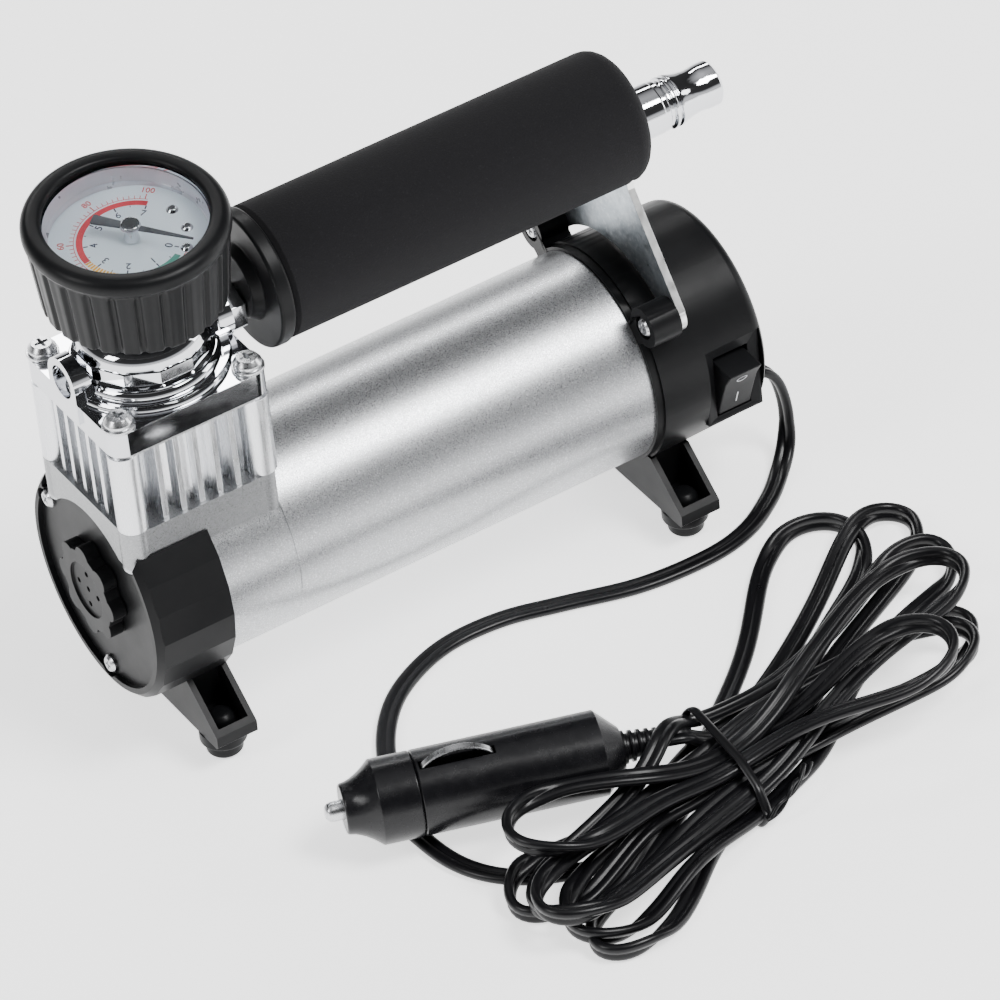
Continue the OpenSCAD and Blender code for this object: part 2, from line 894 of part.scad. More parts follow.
module handle_bracket() {
    top_r = 9.2;
    waist = [10.4, 52.5];
    tab_r = 4.4;
    x1 = brk_x0 + brk_t;
    color("#c9d3dc") place()
        difference() {
            union() {
                across(brk_x0, brk_t)
                    polygon([
                        [-brk_y - 4, brk_z + 2.6], [-waist[0], waist[1]], [-top_r, tube_z],
                        [top_r, tube_z], waist, [brk_y + 4, brk_z + 2.6],
                        [brk_y - 3.6, brk_z - 3.4], [-brk_y + 3.6, brk_z - 3.4]
                    ]);
                translate([0, 0, tube_z]) rod_x(top_r, brk_x0, x1);
                for (s = [-1, 1])
                    translate([0, s * brk_y, brk_z])
                        rod_x(tab_r, brk_x0, x1);
            }
            translate([0, 0, tube_z]) rod_x(tube_r + fit, brk_x0 - 1, x1 + 1);
            rod_x(cap_r + 2, brk_x0 - 1, x1 + 1);
            for (s = [-1, 1])
                translate([0, s * brk_y, brk_z])
                    rod_x(1.8, brk_x0 - 1, x1 + 1);
        }
}

module bracket_screws() {
    color("silver") place()
        for (s = [-1, 1])
            translate([boss_x0 + sink_l, s * brk_y, brk_z])
                rotate([0, 90, 0])
                    pan_screw(2.6, 1.7, 1.5, 9.5 - sink_l);
}

// ---- rear cap ----
module rear_cap() {
    collar = 2;
    edge = 3;
    back_in = cap_x1 - 2.4;
    web_half = 3.2;
    color("#2a2b2e") place()
        union() {
            difference() {
                union() {
                    turned_x(concat(
                        [[cap_x0, 0], [cap_x0, can_r + 0.9], [cap_x0 + collar, can_r + 0.9], [cap_x0 + collar, cap_r]],
                        [for (a = [0 : 15 : 90]) [cap_x1 - edge + edge * sin(a), cap_r - 0.6 - edge + edge * cos(a)]],
                        [[cap_x1, 0]]
                    ));
                    for (s = [-1, 1]) {
                        translate([0, s * brk_y, brk_z])
                            rod_x(boss_r, boss_x0, brk_x0);
                        rotate([atan2(brk_z, s * brk_y), 0, 0])
                            box([boss_x0, cap_in, -web_half], [brk_x0, norm([brk_y, brk_z]), web_half]);
                    }
                }
                rod_x(can_r + fit, cap_x0 - 1, can_l + 0.2);
                rod_x(cap_in, can_l, back_in);
                box([sw_x - sw_half_x - 0.2, -40, sw_z - sw_half_z - 0.2],
                    [sw_x + sw_half_x + 0.2, sw_face, sw_z + sw_half_z + 0.2]);
                box([sw_x - 7.1, -30, sw_z - 11.1], [sw_x + 7.1, -20, sw_z + 11.1]);
                for (s = [-1, 1])
                    translate([0, s * brk_y, brk_z])
                        rod_x(1.55, boss_x0 - 1, brk_x0 + 1);
                for (s = [-1, 1])
                    translate([0, s * brk_y, brk_z])
                        rod_x(3.1, boss_x0 - 1, boss_x0 + sink_l);
                translate([0, gland_y, gland_z]) rod_x(gland_neck, back_in - 1, cap_x1 + 1);
                for (i = [0 : 4])
                    box([back_in - 1, -12, 4 + 3.2 * i], [cap_x1 + 1, 12, 5.4 + 3.2 * i]);
            }
            legs(leg_rear_x, cap_r - 1);
        }
}

module switch_bezel() {
    body_x = 7;
    body_z = 11;
    flange = 1.4;
    lip = 0.6;
    dish = 0.5;
    depth = 10.6;
    base = 1.4;
    mouth_x = rocker_w / 2 + gap;
    color("#202124") place()
        difference() {
            union() {
                box([sw_x - sw_half_x, sw_face - flange, sw_z - sw_half_z],
                    [sw_x + sw_half_x, sw_face, sw_z + sw_half_z]);
                box([sw_x - body_x, sw_face - dish, sw_z - body_z], [sw_x + body_x, sw_face + depth, sw_z + body_z]);
            }
            box([sw_x - mouth_x, sw_face - 2 * flange, sw_z + mouth_z[0]],
                [sw_x + mouth_x, sw_face + depth - base, sw_z + mouth_z[1]]);
            hull() {
                box([sw_x - sw_half_x + lip, sw_face - flange - 0.1, sw_z - sw_half_z + lip],
                    [sw_x + sw_half_x - lip, sw_face - flange, sw_z + sw_half_z - lip]);
                box([sw_x - mouth_x, sw_face - flange, sw_z + mouth_z[0]],
                    [sw_x + mouth_x, sw_face - flange + dish, sw_z + mouth_z[1]]);
            }
            translate([0, sw_y, sw_z]) rod_x(pivot_r + fit, sw_x - pivot_half - 0.2, sw_x + pivot_half + 0.2);
        }
}

// side outline of the rocker from its pivot: back and front edges, from the ridge downwards
module switch_rocker() {
    front = [[-10.4, 5.6], [-8, 2], [-6.3, -2], [-4.8, -6], [-3.6, -9.7]];
    inside = [[1.8, -8.4], [3.2, 0], [1.8, 6.2]];
    top = [[-4.2, 6.2]];
    color("#2e2f33") place()
        translate([0, sw_y, sw_z]) {
            across(sw_x - rocker_w / 2, rocker_w)
                polygon(concat(top, front, inside));
            rod_x(pivot_r, sw_x - pivot_half, sw_x + pivot_half);
        }
}

module cord_gland() {
    hole = [cord_t / 2 + 0.15, cord_w / 2 + 0.15];
    color("#1b1c1e") place()
        difference() {
            union() {
                translate([0, gland_y, gland_z]) rod_x(gland_r, cap_x1, gland_x);
                translate([0, gland_y, gland_z]) rod_x(gland_neck - fit, cap_x1 - 3.4, cap_x1 + 1);
            }
            for (i = [0, 1])
                box([cap_x1 - 5 - i, gland_y - hole[1], gland_z - hole[0]],
                    [cap_x1 - 1 - i, gland_y + hole[1], gland_z + hole[0]]);
        }
}

// ---- cord ----
route = [
    [gland_x, gland_y, gland_z], [142, -12.4, -17.6], [145, -13, -21], [146.4, -14, -27],
    [146, -15.6, -33], [143.4, -18.4, -38.6], [138, -23, cord_z], [130, -30, cord_z],
    [119, -36.4, cord_z], [106, -39, cord_z], [87, -37.6, cord_z], [68, -31.6, cord_z],
    [53, -27.2, cord_z], [38, -26.8, cord_z], [25, -31, cord_z], [14, -38.6, cord_z],
    [4.6, -51, cord_z], [-2.4, -68, cord_z], [-6, -84, cord_z], [-4.6, -97, cord_z],
    [0, -108, cord_z]
];
route_n = len(route);
steps = 4;

// smooth curve through the route points
function knot(i) = route[max(0, min(route_n - 1, i))];
function curve(i, t) =
    let (a = knot(i - 1), b = knot(i), c = knot(i + 1), d = knot(i + 2))
    0.5 * (2 * b + (c - a) * t + (2 * a - 5 * b + 4 * c - d) * t * t + (3 * b - a - 3 * c + d) * t * t * t);
path = concat(
    [for (i = [0 : route_n - 2], k = [0 : steps - 1]) curve(i, k / steps)],
    [knot(route_n - 1)]
);
path_n = len(path);
function unit(v) = v / norm(v);
function heading(i) = i == 0 ? [1, 0, 0] : unit(path[min(i + 1, path_n - 1)] - path[i - 1]);
function side(i) =
    let (t = heading(i), w = i < drop_n * steps ? [0, 1, 0] : cross(t, [0, 0, 1]))
    unit(w - (w * t) * t);
ring_n = 10;
function ring_point(i, k) =
    let (a = 360 * k / ring_n, w = side(i), u = cross(w, heading(i)))
    path[i] + cord_w / 2 * cos(a) * w + cord_t / 2 * sin(a) * u;

module cord_tube() {
    points = [for (i = [0 : path_n - 1], k = [0 : ring_n - 1]) ring_point(i, k)];
    wall = [
        for (i = [0 : path_n - 2], k = [0 : ring_n - 1], h = [0, 1])
            let (a = i * ring_n + k, b = i * ring_n + (k + 1) % ring_n)
            h == 0 ? [a, a + ring_n, b] : [b, a + ring_n, b + ring_n]
    ];
    first = [for (k = [0 : ring_n - 1]) k];
    last = [for (k = [ring_n - 1 : -1 : 0]) (path_n - 1) * ring_n + k];
    color("#141415") place() polyhedron(points = points, faces = concat([first, last], wall));
}

module hank_outline() {
    translate([15, -126]) circle(r = 25);
    translate([118, -97]) circle(r = 33);
    translate([133, -71]) circle(r = 24);
    polygon([
        [20, -102], [44, -109], [46.5, -103], [49.5, -95.5], [62, -92], [74, -83], [85, -73],
        [95, -64], [106, -54], [120, -50], [150, -80], [118, -129], [100, -127], [85, -124],
        [75, -124], [62, -131], [46, -138], [36, -143], [25, -148]
    ]);
}

tie_box = [[tie_x - 1.2, -132, floor_z], [tie_x + 1.2, -93, floor_z + hank_h + 0.4]];
tie_t = 1;

module tie_band() {
    difference() {
        box(tie_box[0], tie_box[1]);
        box(tie_box[0] + [-1, tie_t, tie_t], tie_box[1] - [-1, tie_t, tie_t]);
    }
}

module cord_hank() {
    color("#141415") place()
        difference() {
            translate([0, 0, floor_z]) linear_extrude(height = hank_h) hank_outline();
            tie_band();
            plug_frame() cylinder(r = vp_r + 0.5, h = vp_end + 0.5);
            plug_frame() translate([0, 0, vp_end - 1]) cylinder(r = 4.6, h = relief_l + 1);
        }
}

module hank_tie() {
    tail_y = -132;
    color("#101011") place()
        union() {
            tie_band();
            box([tie_x - 1.2, tail_y - 9, floor_z + 3], [tie_x + 1.2, tail_y + 0.5, floor_z + 5]);
        }
}

// ---- vehicle plug: z runs along its axis from the pin's tip ----
module plug_frame() translate(vp_tip) rotate([0, 0, vp_turn]) rotate([0, 90, 0]) children();

module plug_nose() {
    mouth_r = 6.2;
    edge = 0.4;
    steps = 6;
    bend = 1.7;
    hole_r = 2.5;
    seat_z = 9.2;
    back = vp_seam - fuse_gap;
    flare = [
        for (k = [1 : steps])
            [mouth_r + (vp_r - mouth_r) * pow(k / steps, bend),
             vp_face + edge + (vp_flare - vp_face - edge) * k / steps]
    ];
    color("#17181a") place() plug_frame()
        rotate_extrude()
            polygon(concat(
                [[hole_r, vp_face], [mouth_r - edge, vp_face], [mouth_r, vp_face + edge]],
                flare,
                [
                    [vp_r, vp_seam - seam_w], [vp_r - seam_d, back], [spigot_r, back], [spigot_r, spigot_z],
                    [barrel_bore, spigot_z], [barrel_bore, seat_z], [hole_r, seat_z]
                ]
            ));
}

module plug_pin() {
    pin_r = 2.42;
    head_r = 3.8;
    head_z = 9.4;
    tip = [[0, 0], [1.4, 0.2], [2.2, 1], [pin_r, 2]];
    color("#e0e0dc") place() plug_frame()
        rotate_extrude()
            polygon(concat(tip, [[pin_r, head_z], [head_r, head_z], [head_r, fuse_z], [0, fuse_z]]));
}

module plug_fuse() {
    fuse_r = 3.1;
    color("lightcyan") place() plug_frame()
        translate([0, 0, fuse_z])
            cylinder(r = fuse_r, h = fuse_l);
}

module plug_spring() {
    coil = [3.3, 2.3];
    color("silver") place() plug_frame()
        ring_z(coil[0], coil[1], fuse_z + fuse_l + pin_travel + gap, bore_end);
}

module plug_body() {
    cone = 5.2;
    play = 0.05;
    slot_deep = 3.8;
    color("#17181a") place() plug_frame()
        difference() {
            rotate_extrude()
                polygon([
                    [barrel_bore, spigot_z + 0.2], [spigot_r - play, spigot_z + 0.2], [spigot_r - play, vp_seam],
                    [vp_r - seam_d, vp_seam], [vp_r, vp_seam + seam_d], [vp_r, vp_end - cone],
                    [vp_r - cone, vp_end], [0, vp_end], [0, bore_end], [barrel_bore, bore_end]
                ]);
            rotate([0, 0, clip_roll])
                box([vp_r - slot_deep, -clip_w / 2 - clip_gap, clip_mid - clip_span - clip_gap],
                    [vp_r + 1, clip_w / 2 + clip_gap, clip_mid + clip_span + clip_gap]);
        }
}

module plug_clip() {
    bow_r = 10.6;
    rise = 4.2;
    thick = 0.6;
    foot = 0.5;
    color("#d8dadb") place() plug_frame()
        rotate([0, 0, clip_roll])
            intersection() {
                translate([vp_r + rise - bow_r, clip_w / 2, clip_mid])
                    rotate([90, 0, 0])
                        difference() {
                            cylinder(r = bow_r, h = clip_w);
                            translate([0, 0, -1]) cylinder(r = bow_r - thick, h = clip_w + 2);
                        }
                box([vp_r - foot, -clip_w, clip_mid - clip_span],
                    [vp_r + rise + 1, clip_w, clip_mid + clip_span]);
            }
}

module plug_relief() {
    rib_n = 5;
    rib_pitch = 2;
    color("#161718") place() plug_frame()
        translate([0, 0, vp_end])
            union() {
                cylinder(r1 = 3.4, r2 = 2.6, h = relief_l);
                for (i = [0 : rib_n - 1])
                    translate([0, 0, i * rib_pitch])
                        cylinder(r = 4.1 - 0.22 * i, h = rib_pitch / 2);
            }
}

motor_can();
magnets();
end_plate();
shaft_bearings();
brushes();
crankcase();
front_cover();
cover_screws();
cylinder_block();  // cylinder
valve_plate();
cylinder_head();
head_screws();
head_washers();
gauge_base();
gauge_case();
gauge_boot();
gauge_dial();
dial_screws();
gauge_lens();
outlet_nut();
outlet_tube();
handle_flange();
handle_tube();
foam_grip();
quick_plug();
handle_bracket();
bracket_screws();
rear_cap();
feet();
switch_bezel();
cord_gland();
rotor_shaft();
rotor_core();
rotor_windings();
commutator();
crank_web();
crank_pin();
connecting_rod();
rod_bearing();
piston_cup();
cup_retainer();
retainer_screw();
gauge_needle();
needle_hub();
switch_rocker();
filter_cap();
filter_foam();
cord_tube();
cord_hank();
hank_tie();
plug_body();
plug_nose();
plug_relief();
plug_spring();
plug_pin();
plug_fuse();
plug_clip();
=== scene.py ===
import json
import math

import bmesh
import bpy
import numpy as np
from mathutils import Matrix, Vector


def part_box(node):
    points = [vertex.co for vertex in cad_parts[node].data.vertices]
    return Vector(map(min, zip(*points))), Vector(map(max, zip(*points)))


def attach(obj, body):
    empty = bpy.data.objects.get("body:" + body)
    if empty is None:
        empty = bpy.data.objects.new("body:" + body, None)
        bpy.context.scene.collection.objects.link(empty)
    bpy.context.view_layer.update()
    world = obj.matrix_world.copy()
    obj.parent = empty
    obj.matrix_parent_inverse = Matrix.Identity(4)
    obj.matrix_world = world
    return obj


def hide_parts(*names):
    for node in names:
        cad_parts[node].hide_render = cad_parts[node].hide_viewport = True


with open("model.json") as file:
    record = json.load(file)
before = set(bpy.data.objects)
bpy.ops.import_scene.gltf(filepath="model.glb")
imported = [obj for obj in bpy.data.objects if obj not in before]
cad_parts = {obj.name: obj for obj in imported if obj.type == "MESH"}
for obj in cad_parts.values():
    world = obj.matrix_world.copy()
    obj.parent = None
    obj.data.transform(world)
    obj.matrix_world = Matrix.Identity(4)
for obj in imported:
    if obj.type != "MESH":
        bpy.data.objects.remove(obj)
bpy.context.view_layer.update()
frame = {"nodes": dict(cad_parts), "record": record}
nodes = frame["nodes"]

MM = 0.001
# the gearbox seam and the motor axis, read from the frame
can_lo, can_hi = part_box("motor_can")
SEAM_X = can_lo.x
AXIS_Z = (can_lo.z + can_hi.z) / 2


def row(x, y, z):
    """Millimetres from the seam along the motor's axis, as a point of the frame."""
    return Vector((SEAM_X + x * MM, y * MM, AXIS_Z + z * MM))


def rows(points):
    """The same for an array of points."""
    q = np.array(points, float) * MM
    return q + np.array([SEAM_X, 0, AXIS_Z])


# the gauge leans towards the user; its own axis and turn
CYL_X = -19.4
LEAN_Z = 64.0
LEAN = math.radians(6.5)
LEAN_WAY = math.radians(-113.5)
TURN = (
    Matrix.Rotation(LEAN_WAY, 4, "Z") @ Matrix.Rotation(LEAN, 4, "Y") @ Matrix.Rotation(-LEAN_WAY, 4, "Z")
)
GAUGE_TOP = 104.5
DIAL_Z = GAUGE_TOP - 9.0
PIVOT_OFF = 1.0
BOOT_Z0 = GAUGE_TOP - 24.8
BOOT_R = 24.6


def on_gauge(x, y, z):
    """Gauge millimetres: x and y from its axis, z as if it stood upright."""
    q = TURN @ Vector((x, y, z - LEAN_Z))
    return row(CYL_X + q.x, q.y, LEAN_Z + q.z)


# ---------------------------------------------------------------- camera
def make_camera():
    yaw, pitch, roll = (math.radians(a) for a in (-28.774, 38.915, -6.230))
    back = Vector((math.sin(yaw) * math.cos(pitch), -math.cos(yaw) * math.cos(pitch), math.sin(pitch)))
    right0 = Vector((math.cos(yaw), math.sin(yaw), 0))
    up0 = back.cross(right0)
    right = right0 * math.cos(roll) + up0 * math.sin(roll)
    up = up0 * math.cos(roll) - right0 * math.sin(roll)
    cam = bpy.data.objects.new("camera", bpy.data.cameras.new("camera"))
    bpy.context.scene.collection.objects.link(cam)
    m = Matrix((right, up, back)).transposed().to_4x4()
    m.translation = row(-624.671, -1266.904, 1136.075)
    cam.matrix_world = m
    cam.data.sensor_width = 36.0
    cam.data.lens = 7527.083 * 36 / 1000
    cam.data.clip_start = 0.05
    cam.data.clip_end = 50
    bpy.context.scene.camera = cam


make_camera()


# ---------------------------------------------------------------- materials
class Look:
    """A Principled material with procedural colour, roughness and bump."""

    def __init__(self, name, color, metallic=0.0, rough=0.5, **sockets):
        self.mat = bpy.data.materials.new(name)
        self.mat.use_nodes = True
        self.tree = self.mat.node_tree
        self.bsdf = self.tree.nodes["Principled BSDF"]
        self.color = tuple(color) + (1.0,)
        self.rough = rough
        self.bsdf.inputs["Base Color"].default_value = self.color
        self.bsdf.inputs["Metallic"].default_value = metallic
        self.bsdf.inputs["Roughness"].default_value = rough
        for key, value in sockets.items():
            self.bsdf.inputs[key.replace("_", " ")].default_value = value
        self.where = self.tree.nodes.new("ShaderNodeTexCoord").outputs["Object"]
        self.tint = None
        self.shine = None

    def node(self, kind, **inputs):
        n = self.tree.nodes.new(kind)
        for key, value in inputs.items():
            n.inputs[key].default_value = value
        return n

    def link(self, a, b):
        self.tree.links.new(a, b)

    def stretched(self, scale):
        n = self.node("ShaderNodeMapping", Scale=scale)
        self.link(self.where, n.inputs["Vector"])
        return n.outputs["Vector"]

    def noise(self, size, detail=3.0, rough=0.55, stretch=None):
        n = self.node("ShaderNodeTexNoise", Scale=1 / (size * MM), Detail=detail, Roughness=rough)
        self.link(self.stretched(stretch) if stretch else self.where, n.inputs["Vector"])
        return n.outputs["Fac"]

    def cells(self, size, stretch=None, feature="F1", output="Distance"):
        n = self.node("ShaderNodeTexVoronoi", Scale=1 / (size * MM))
        n.feature = feature
        self.link(self.stretched(stretch) if stretch else self.where, n.inputs["Vector"])
        return n.outputs[output]

    def ramp(self, value, lo, hi, a=0.0, b=1.0):
        n = self.node("ShaderNodeMapRange")
        n.inputs["From Min"].default_value = lo
        n.inputs["From Max"].default_value = hi
        n.inputs["To Min"].default_value = a
        n.inputs["To Max"].default_value = b
        self.link(value, n.inputs["Value"])
        return n.outputs["Result"]

    def math(self, op, a, b):
        n = self.tree.nodes.new("ShaderNodeMath")
        n.operation = op
        for i, v in enumerate((a, b)):
            if isinstance(v, (int, float)):
                n.inputs[i].default_value = v
            else:
                self.link(v, n.inputs[i])
        return n.outputs[0]

    def axis(self, which, normal=False):
        n = self.tree.nodes.new("ShaderNodeSeparateXYZ")
        if normal:
            g = self.tree.nodes.new("ShaderNodeNewGeometry")
            self.link(g.outputs["Normal"], n.inputs[0])
        else:
            self.link(self.where, n.inputs[0])
        return n.outputs[which]

    def paint(self, mask, color):
        """Mixes a colour in where the mask is 1."""
        n = self.tree.nodes.new("ShaderNodeMix")
        n.data_type = "RGBA"
        self.link(mask, n.inputs[0])
        if self.tint is None:
            n.inputs[6].default_value = self.color
        else:
            self.link(self.tint, n.inputs[6])
        n.inputs[7].default_value = tuple(color) + (1.0,)
        self.tint = n.outputs[2]
        self.link(self.tint, self.bsdf.inputs["Base Color"])
        return self

    def polish(self, value, amount):
        """Adds amount times (value - 0.5) to the roughness."""
        step = self.math("MULTIPLY", self.math("SUBTRACT", value, 0.5), amount)
        self.shine = self.math("ADD", self.rough if self.shine is None else self.shine, step)
        self.link(self.shine, self.bsdf.inputs["Roughness"])
        return self

    def bump(self, value, depth, strength=1.0):
        n = self.node("ShaderNodeBump", Strength=strength, Distance=depth * MM)
        self.link(value, n.inputs["Height"])
        old = self.bsdf.inputs["Normal"].links
        if old:
            self.link(old[0].from_socket, n.inputs["Normal"])
        self.link(n.outputs["Normal"], self.bsdf.inputs["Normal"])
        return self


def flake_paint(name, cast=False):
    m = Look(name, (0.46, 0.47, 0.485), metallic=0.9, rough=0.34, Coat_Weight=0.25, Coat_Roughness=0.22)
    flake = m.cells(0.17, output="Color")
    n = m.tree.nodes.new("ShaderNodeSeparateXYZ")
    m.link(flake, n.inputs[0])
    m.paint(m.ramp(n.outputs[0], 0.0, 1.0, 0.0, 0.45), (0.30, 0.305, 0.315))
    m.paint(m.ramp(n.outputs[1], 0.80, 0.98, 0.0, 0.75), (0.85, 0.86, 0.88))
    m.polish(n.outputs[2], 0.18)
    m.bump(n.outputs[0], 0.004, 0.35)
    m.bump(m.noise(0.7, 3), 0.006, 0.25)
    if cast:
        skin = m.ramp(m.axis(2), AXIS_Z + 16.6 * MM, AXIS_Z + 17.4 * MM)
        m.paint(m.math("MULTIPLY", skin, m.ramp(m.noise(0.5, 4), 0.3, 0.7, 0.7, 1.0)), (0.25, 0.255, 0.26))
        m.bump(m.noise(0.5, 4), 0.05, 0.5)
    return m.mat


def black_plastic(name, base=0.0048, rough=0.38, grain=0.5, depth=0.014):
    m = Look(name, (base, base * 1.03, base * 1.15), rough=rough, Specular_IOR_Level=0.14)
    m.paint(m.ramp(m.noise(14, 3), 0.35, 0.7, 0.0, 0.5), (base * 1.5, base * 1.55, base * 1.65))
    m.paint(m.ramp(m.cells(7.5), 0.0, 0.02, 0.5, 0.0), (0.06, 0.06, 0.062))
    m.polish(m.noise(9, 4), 0.18)
    m.bump(m.noise(grain, 4, 0.6), depth, 0.45)
    m.bump(m.noise(7, 2), 0.04, 0.12)
    return m.mat


def chrome(name, rough=0.06):
    m = Look(name, (0.70, 0.71, 0.735), metallic=1.0, rough=rough)
    m.paint(m.ramp(m.noise(5, 4), 0.45, 0.8, 0.0, 0.3), (0.60, 0.61, 0.63))
    m.polish(m.noise(2.5, 5), 0.08)
    m.bump(m.noise(4.5, 2), 0.02, 0.16)
    m.bump(m.noise(0.8, 3), 0.0015, 0.2)
    return m.mat


def steel(name, rough=0.28, tone=0.62):
    m = Look(name, (tone, tone * 1.01, tone * 1.03), metallic=1.0, rough=rough)
    m.paint(m.ramp(m.noise(1.4, 4), 0.4, 0.75, 0.0, 0.25), (tone * 0.72, tone * 0.72, tone * 0.74))
    m.polish(m.noise(0.7, 4), 0.2)
    m.bump(m.noise(0.35, 3), 0.006, 0.22)
    return m.mat


def bright_aluminium(name):
    m = Look(name, (0.78, 0.79, 0.81), metallic=1.0, rough=0.27)
    m.paint(m.ramp(m.noise(0.6, 4, stretch=(1, 1, 0.08)), 0.4, 0.75, 0.0, 0.3), (0.66, 0.67, 0.69))
    m.paint(m.ramp(m.noise(6, 3), 0.5, 0.8, 0.0, 0.25), (0.70, 0.71, 0.73))
    m.polish(m.noise(0.8, 3, stretch=(1, 1, 0.1)), 0.2)
    m.bump(m.noise(0.4, 3, stretch=(1, 1, 0.06)), 0.015, 0.3)
    return m.mat


def zinc_sheet(name):
    m = Look(name, (0.50, 0.545, 0.58), metallic=1.0, rough=0.34)
    m.paint(m.ramp(m.noise(7, 5, 0.65), 0.38, 0.66, 0.0, 0.8), (0.27, 0.31, 0.345))
    m.paint(m.ramp(m.noise(1.1, 4), 0.5, 0.72, 0.0, 0.5), (0.70, 0.73, 0.74))
    # painted highlight: faces that do not face along x, the edges of the sheet, are painted near white
    side = m.math("ABSOLUTE", m.axis(0, normal=True), 0)
    m.paint(m.ramp(side, 0.75, 0.25, 0.0, 0.95), (0.93, 0.93, 0.92))
    m.polish(m.noise(2.2, 4), 0.3)
    m.bump(m.noise(1.0, 4), 0.03, 0.4)
    return m.mat


def rubber(name, base=0.0050, rough=0.36, grain=0.6):
    m = Look(name, (base, base * 1.05, base * 1.18), rough=rough, Specular_IOR_Level=0.13)
    m.paint(m.ramp(m.noise(4, 4), 0.4, 0.72, 0.0, 0.5), (base * 1.6, base * 1.65, base * 1.75))
    m.polish(m.noise(3, 4), 0.14)
    m.bump(m.noise(grain, 4), 0.015, 0.35)
    return m.mat


def foam(name):
    m = Look(
        name, (0.0062, 0.0060, 0.0072), rough=0.95, Specular_IOR_Level=0.16,
        Sheen_Weight=0.03, Sheen_Roughness=0.7,
    )
    pores = m.cells(0.35)
    # painted shade: the pits of the pores are painted darker than the foam around them
    m.paint(m.ramp(pores, 0.10, 0.5, 0.7, 0.0), (0.0025, 0.0025, 0.003))
    m.paint(m.ramp(m.noise(0.45, 3), 0.6, 0.78, 0.0, 0.7), (0.020, 0.020, 0.022))
    m.bump(pores, 0.07, 0.7)
    m.bump(m.noise(0.6, 4, 0.7), 0.08, 0.6)
    return m.mat


def cord_pvc(name):
    m = Look(name, (0.0042, 0.0042, 0.0050), rough=0.30, Specular_IOR_Level=0.25)
    m.paint(m.ramp(m.noise(6, 3), 0.4, 0.75, 0.0, 0.5), (0.0075, 0.0075, 0.0088))
    m.polish(m.noise(4, 4), 0.12)
    m.bump(m.noise(1.2, 3), 0.006, 0.12)
    m.bump(m.noise(12, 2), 0.05, 0.12)
    return m.mat


def glossy_black(name):
    m = Look(name, (0.0050, 0.0050, 0.0060), rough=0.25, Specular_IOR_Level=0.28)
    m.paint(m.ramp(m.noise(9, 4), 0.45, 0.8, 0.0, 0.5), (0.022, 0.022, 0.024))
    m.polish(m.noise(2.0, 5), 0.20)
    m.bump(m.noise(5, 3), 0.05, 0.22)
    m.bump(m.cells(3.0), 0.008, 0.2)
    return m.mat


def glass(name):
    m = Look(name, (0.97, 0.985, 0.99), rough=0.0, Transmission_Weight=1.0, IOR=1.18)
    m.bump(m.noise(30, 1), 0.01, 0.05)
    return m.mat


def dial_face(name):
    m = Look(name, (0.76, 0.85, 0.92), rough=0.45)
    m.paint(m.ramp(m.noise(8, 2), 0.4, 0.7, 0.0, 0.35), (0.82, 0.88, 0.94))
    m.polish(m.noise(2, 3), 0.1)
    m.bump(m.noise(0.5, 2), 0.004, 0.3)
    return m.mat


def ink(name, color, rough=0.5):
    m = Look(name, color, rough=rough)
    m.paint(m.ramp(m.noise(0.6, 3), 0.45, 0.8, 0.0, 0.35), [min(1.0, c * 1.35 + 0.02) for c in color])
    m.polish(m.noise(0.8, 2), 0.12)
    m.bump(m.noise(0.3, 2), 0.004, 0.3)
    return m.mat


def plain(name, color, metallic, rough, size=1.0):
    """Inner pieces: still grained, but simple."""
    m = Look(name, color, metallic=metallic, rough=rough)
    m.paint(m.ramp(m.noise(size * 3, 4), 0.4, 0.75, 0.0, 0.5), [c * 0.6 for c in color])
    m.polish(m.noise(size, 4), 0.2)
    m.bump(m.noise(size * 0.5, 3), 0.03, 0.4)
    return m.mat


LOOKS = {
    "can_paint": flake_paint("can_paint"),
    "cast_paint": flake_paint("cast_paint", cast=True),
    "bright_alu": bright_aluminium("bright_alu"),
    "chrome": chrome("chrome"),
    "steel": steel("steel"),
    "zinc_sheet": zinc_sheet("zinc_sheet"),
    "black_plastic": black_plastic("black_plastic"),
    "switch_plastic": black_plastic("switch_plastic", 0.0075, 0.46, 0.8, 0.008),
    "gloss_black": glossy_black("gloss_black"),
    "cord_pvc": cord_pvc("cord_pvc"),
    "rubber": rubber("rubber"),
    "foam": foam("foam"),
    "glass": glass("glass"),
    "dial_print": dial_face("dial_print"),
    "needle_paint": ink("needle_paint", (0.045, 0.05, 0.06), 0.35),
    "case_wall": plain("case_wall", (0.62, 0.61, 0.66), 0.55, 0.3, 5),
    "dial_ink": ink("dial_ink", (0.035, 0.045, 0.09)),
    "dial_red": ink("dial_red", (0.56, 0.045, 0.06)),
    "dial_amber": ink("dial_amber", (0.75, 0.38, 0.03)),
    "dial_green": ink("dial_green", (0.06, 0.25, 0.20)),
    "switch_mark": ink("switch_mark", (0.62, 0.63, 0.65)),
    "copper": plain("copper", (0.72, 0.36, 0.18), 1.0, 0.35),
    "bronze": plain("bronze", (0.60, 0.44, 0.22), 1.0, 0.4),
    "ferrite": plain("ferrite", (0.05, 0.05, 0.055), 0.2, 0.6, 2),
    "lamination": plain("lamination", (0.28, 0.29, 0.30), 0.9, 0.45, 0.5),
    "carbon": plain("carbon", (0.02, 0.02, 0.02), 0.1, 0.5),
    "ptfe": plain("ptfe", (0.80, 0.79, 0.75), 0.0, 0.4, 2),
    "filter_felt": plain("filter_felt", (0.30, 0.30, 0.28), 0.0, 0.9, 0.6),
}
# the material slot and the body of each node, as model.json gives them
SLOT_OF = {s["node"]: s["material_slot"] for s in frame["record"]["subparts"]}
BODY_OF = {n: b for b, ns in frame["record"]["behaviour"]["bodies"].items() for n in ns}


def wear(obj, slot):
    obj.data.materials.clear()
    obj.data.materials.append(LOOKS[slot])


for name, node in nodes.items():
    wear(node, SLOT_OF[name])


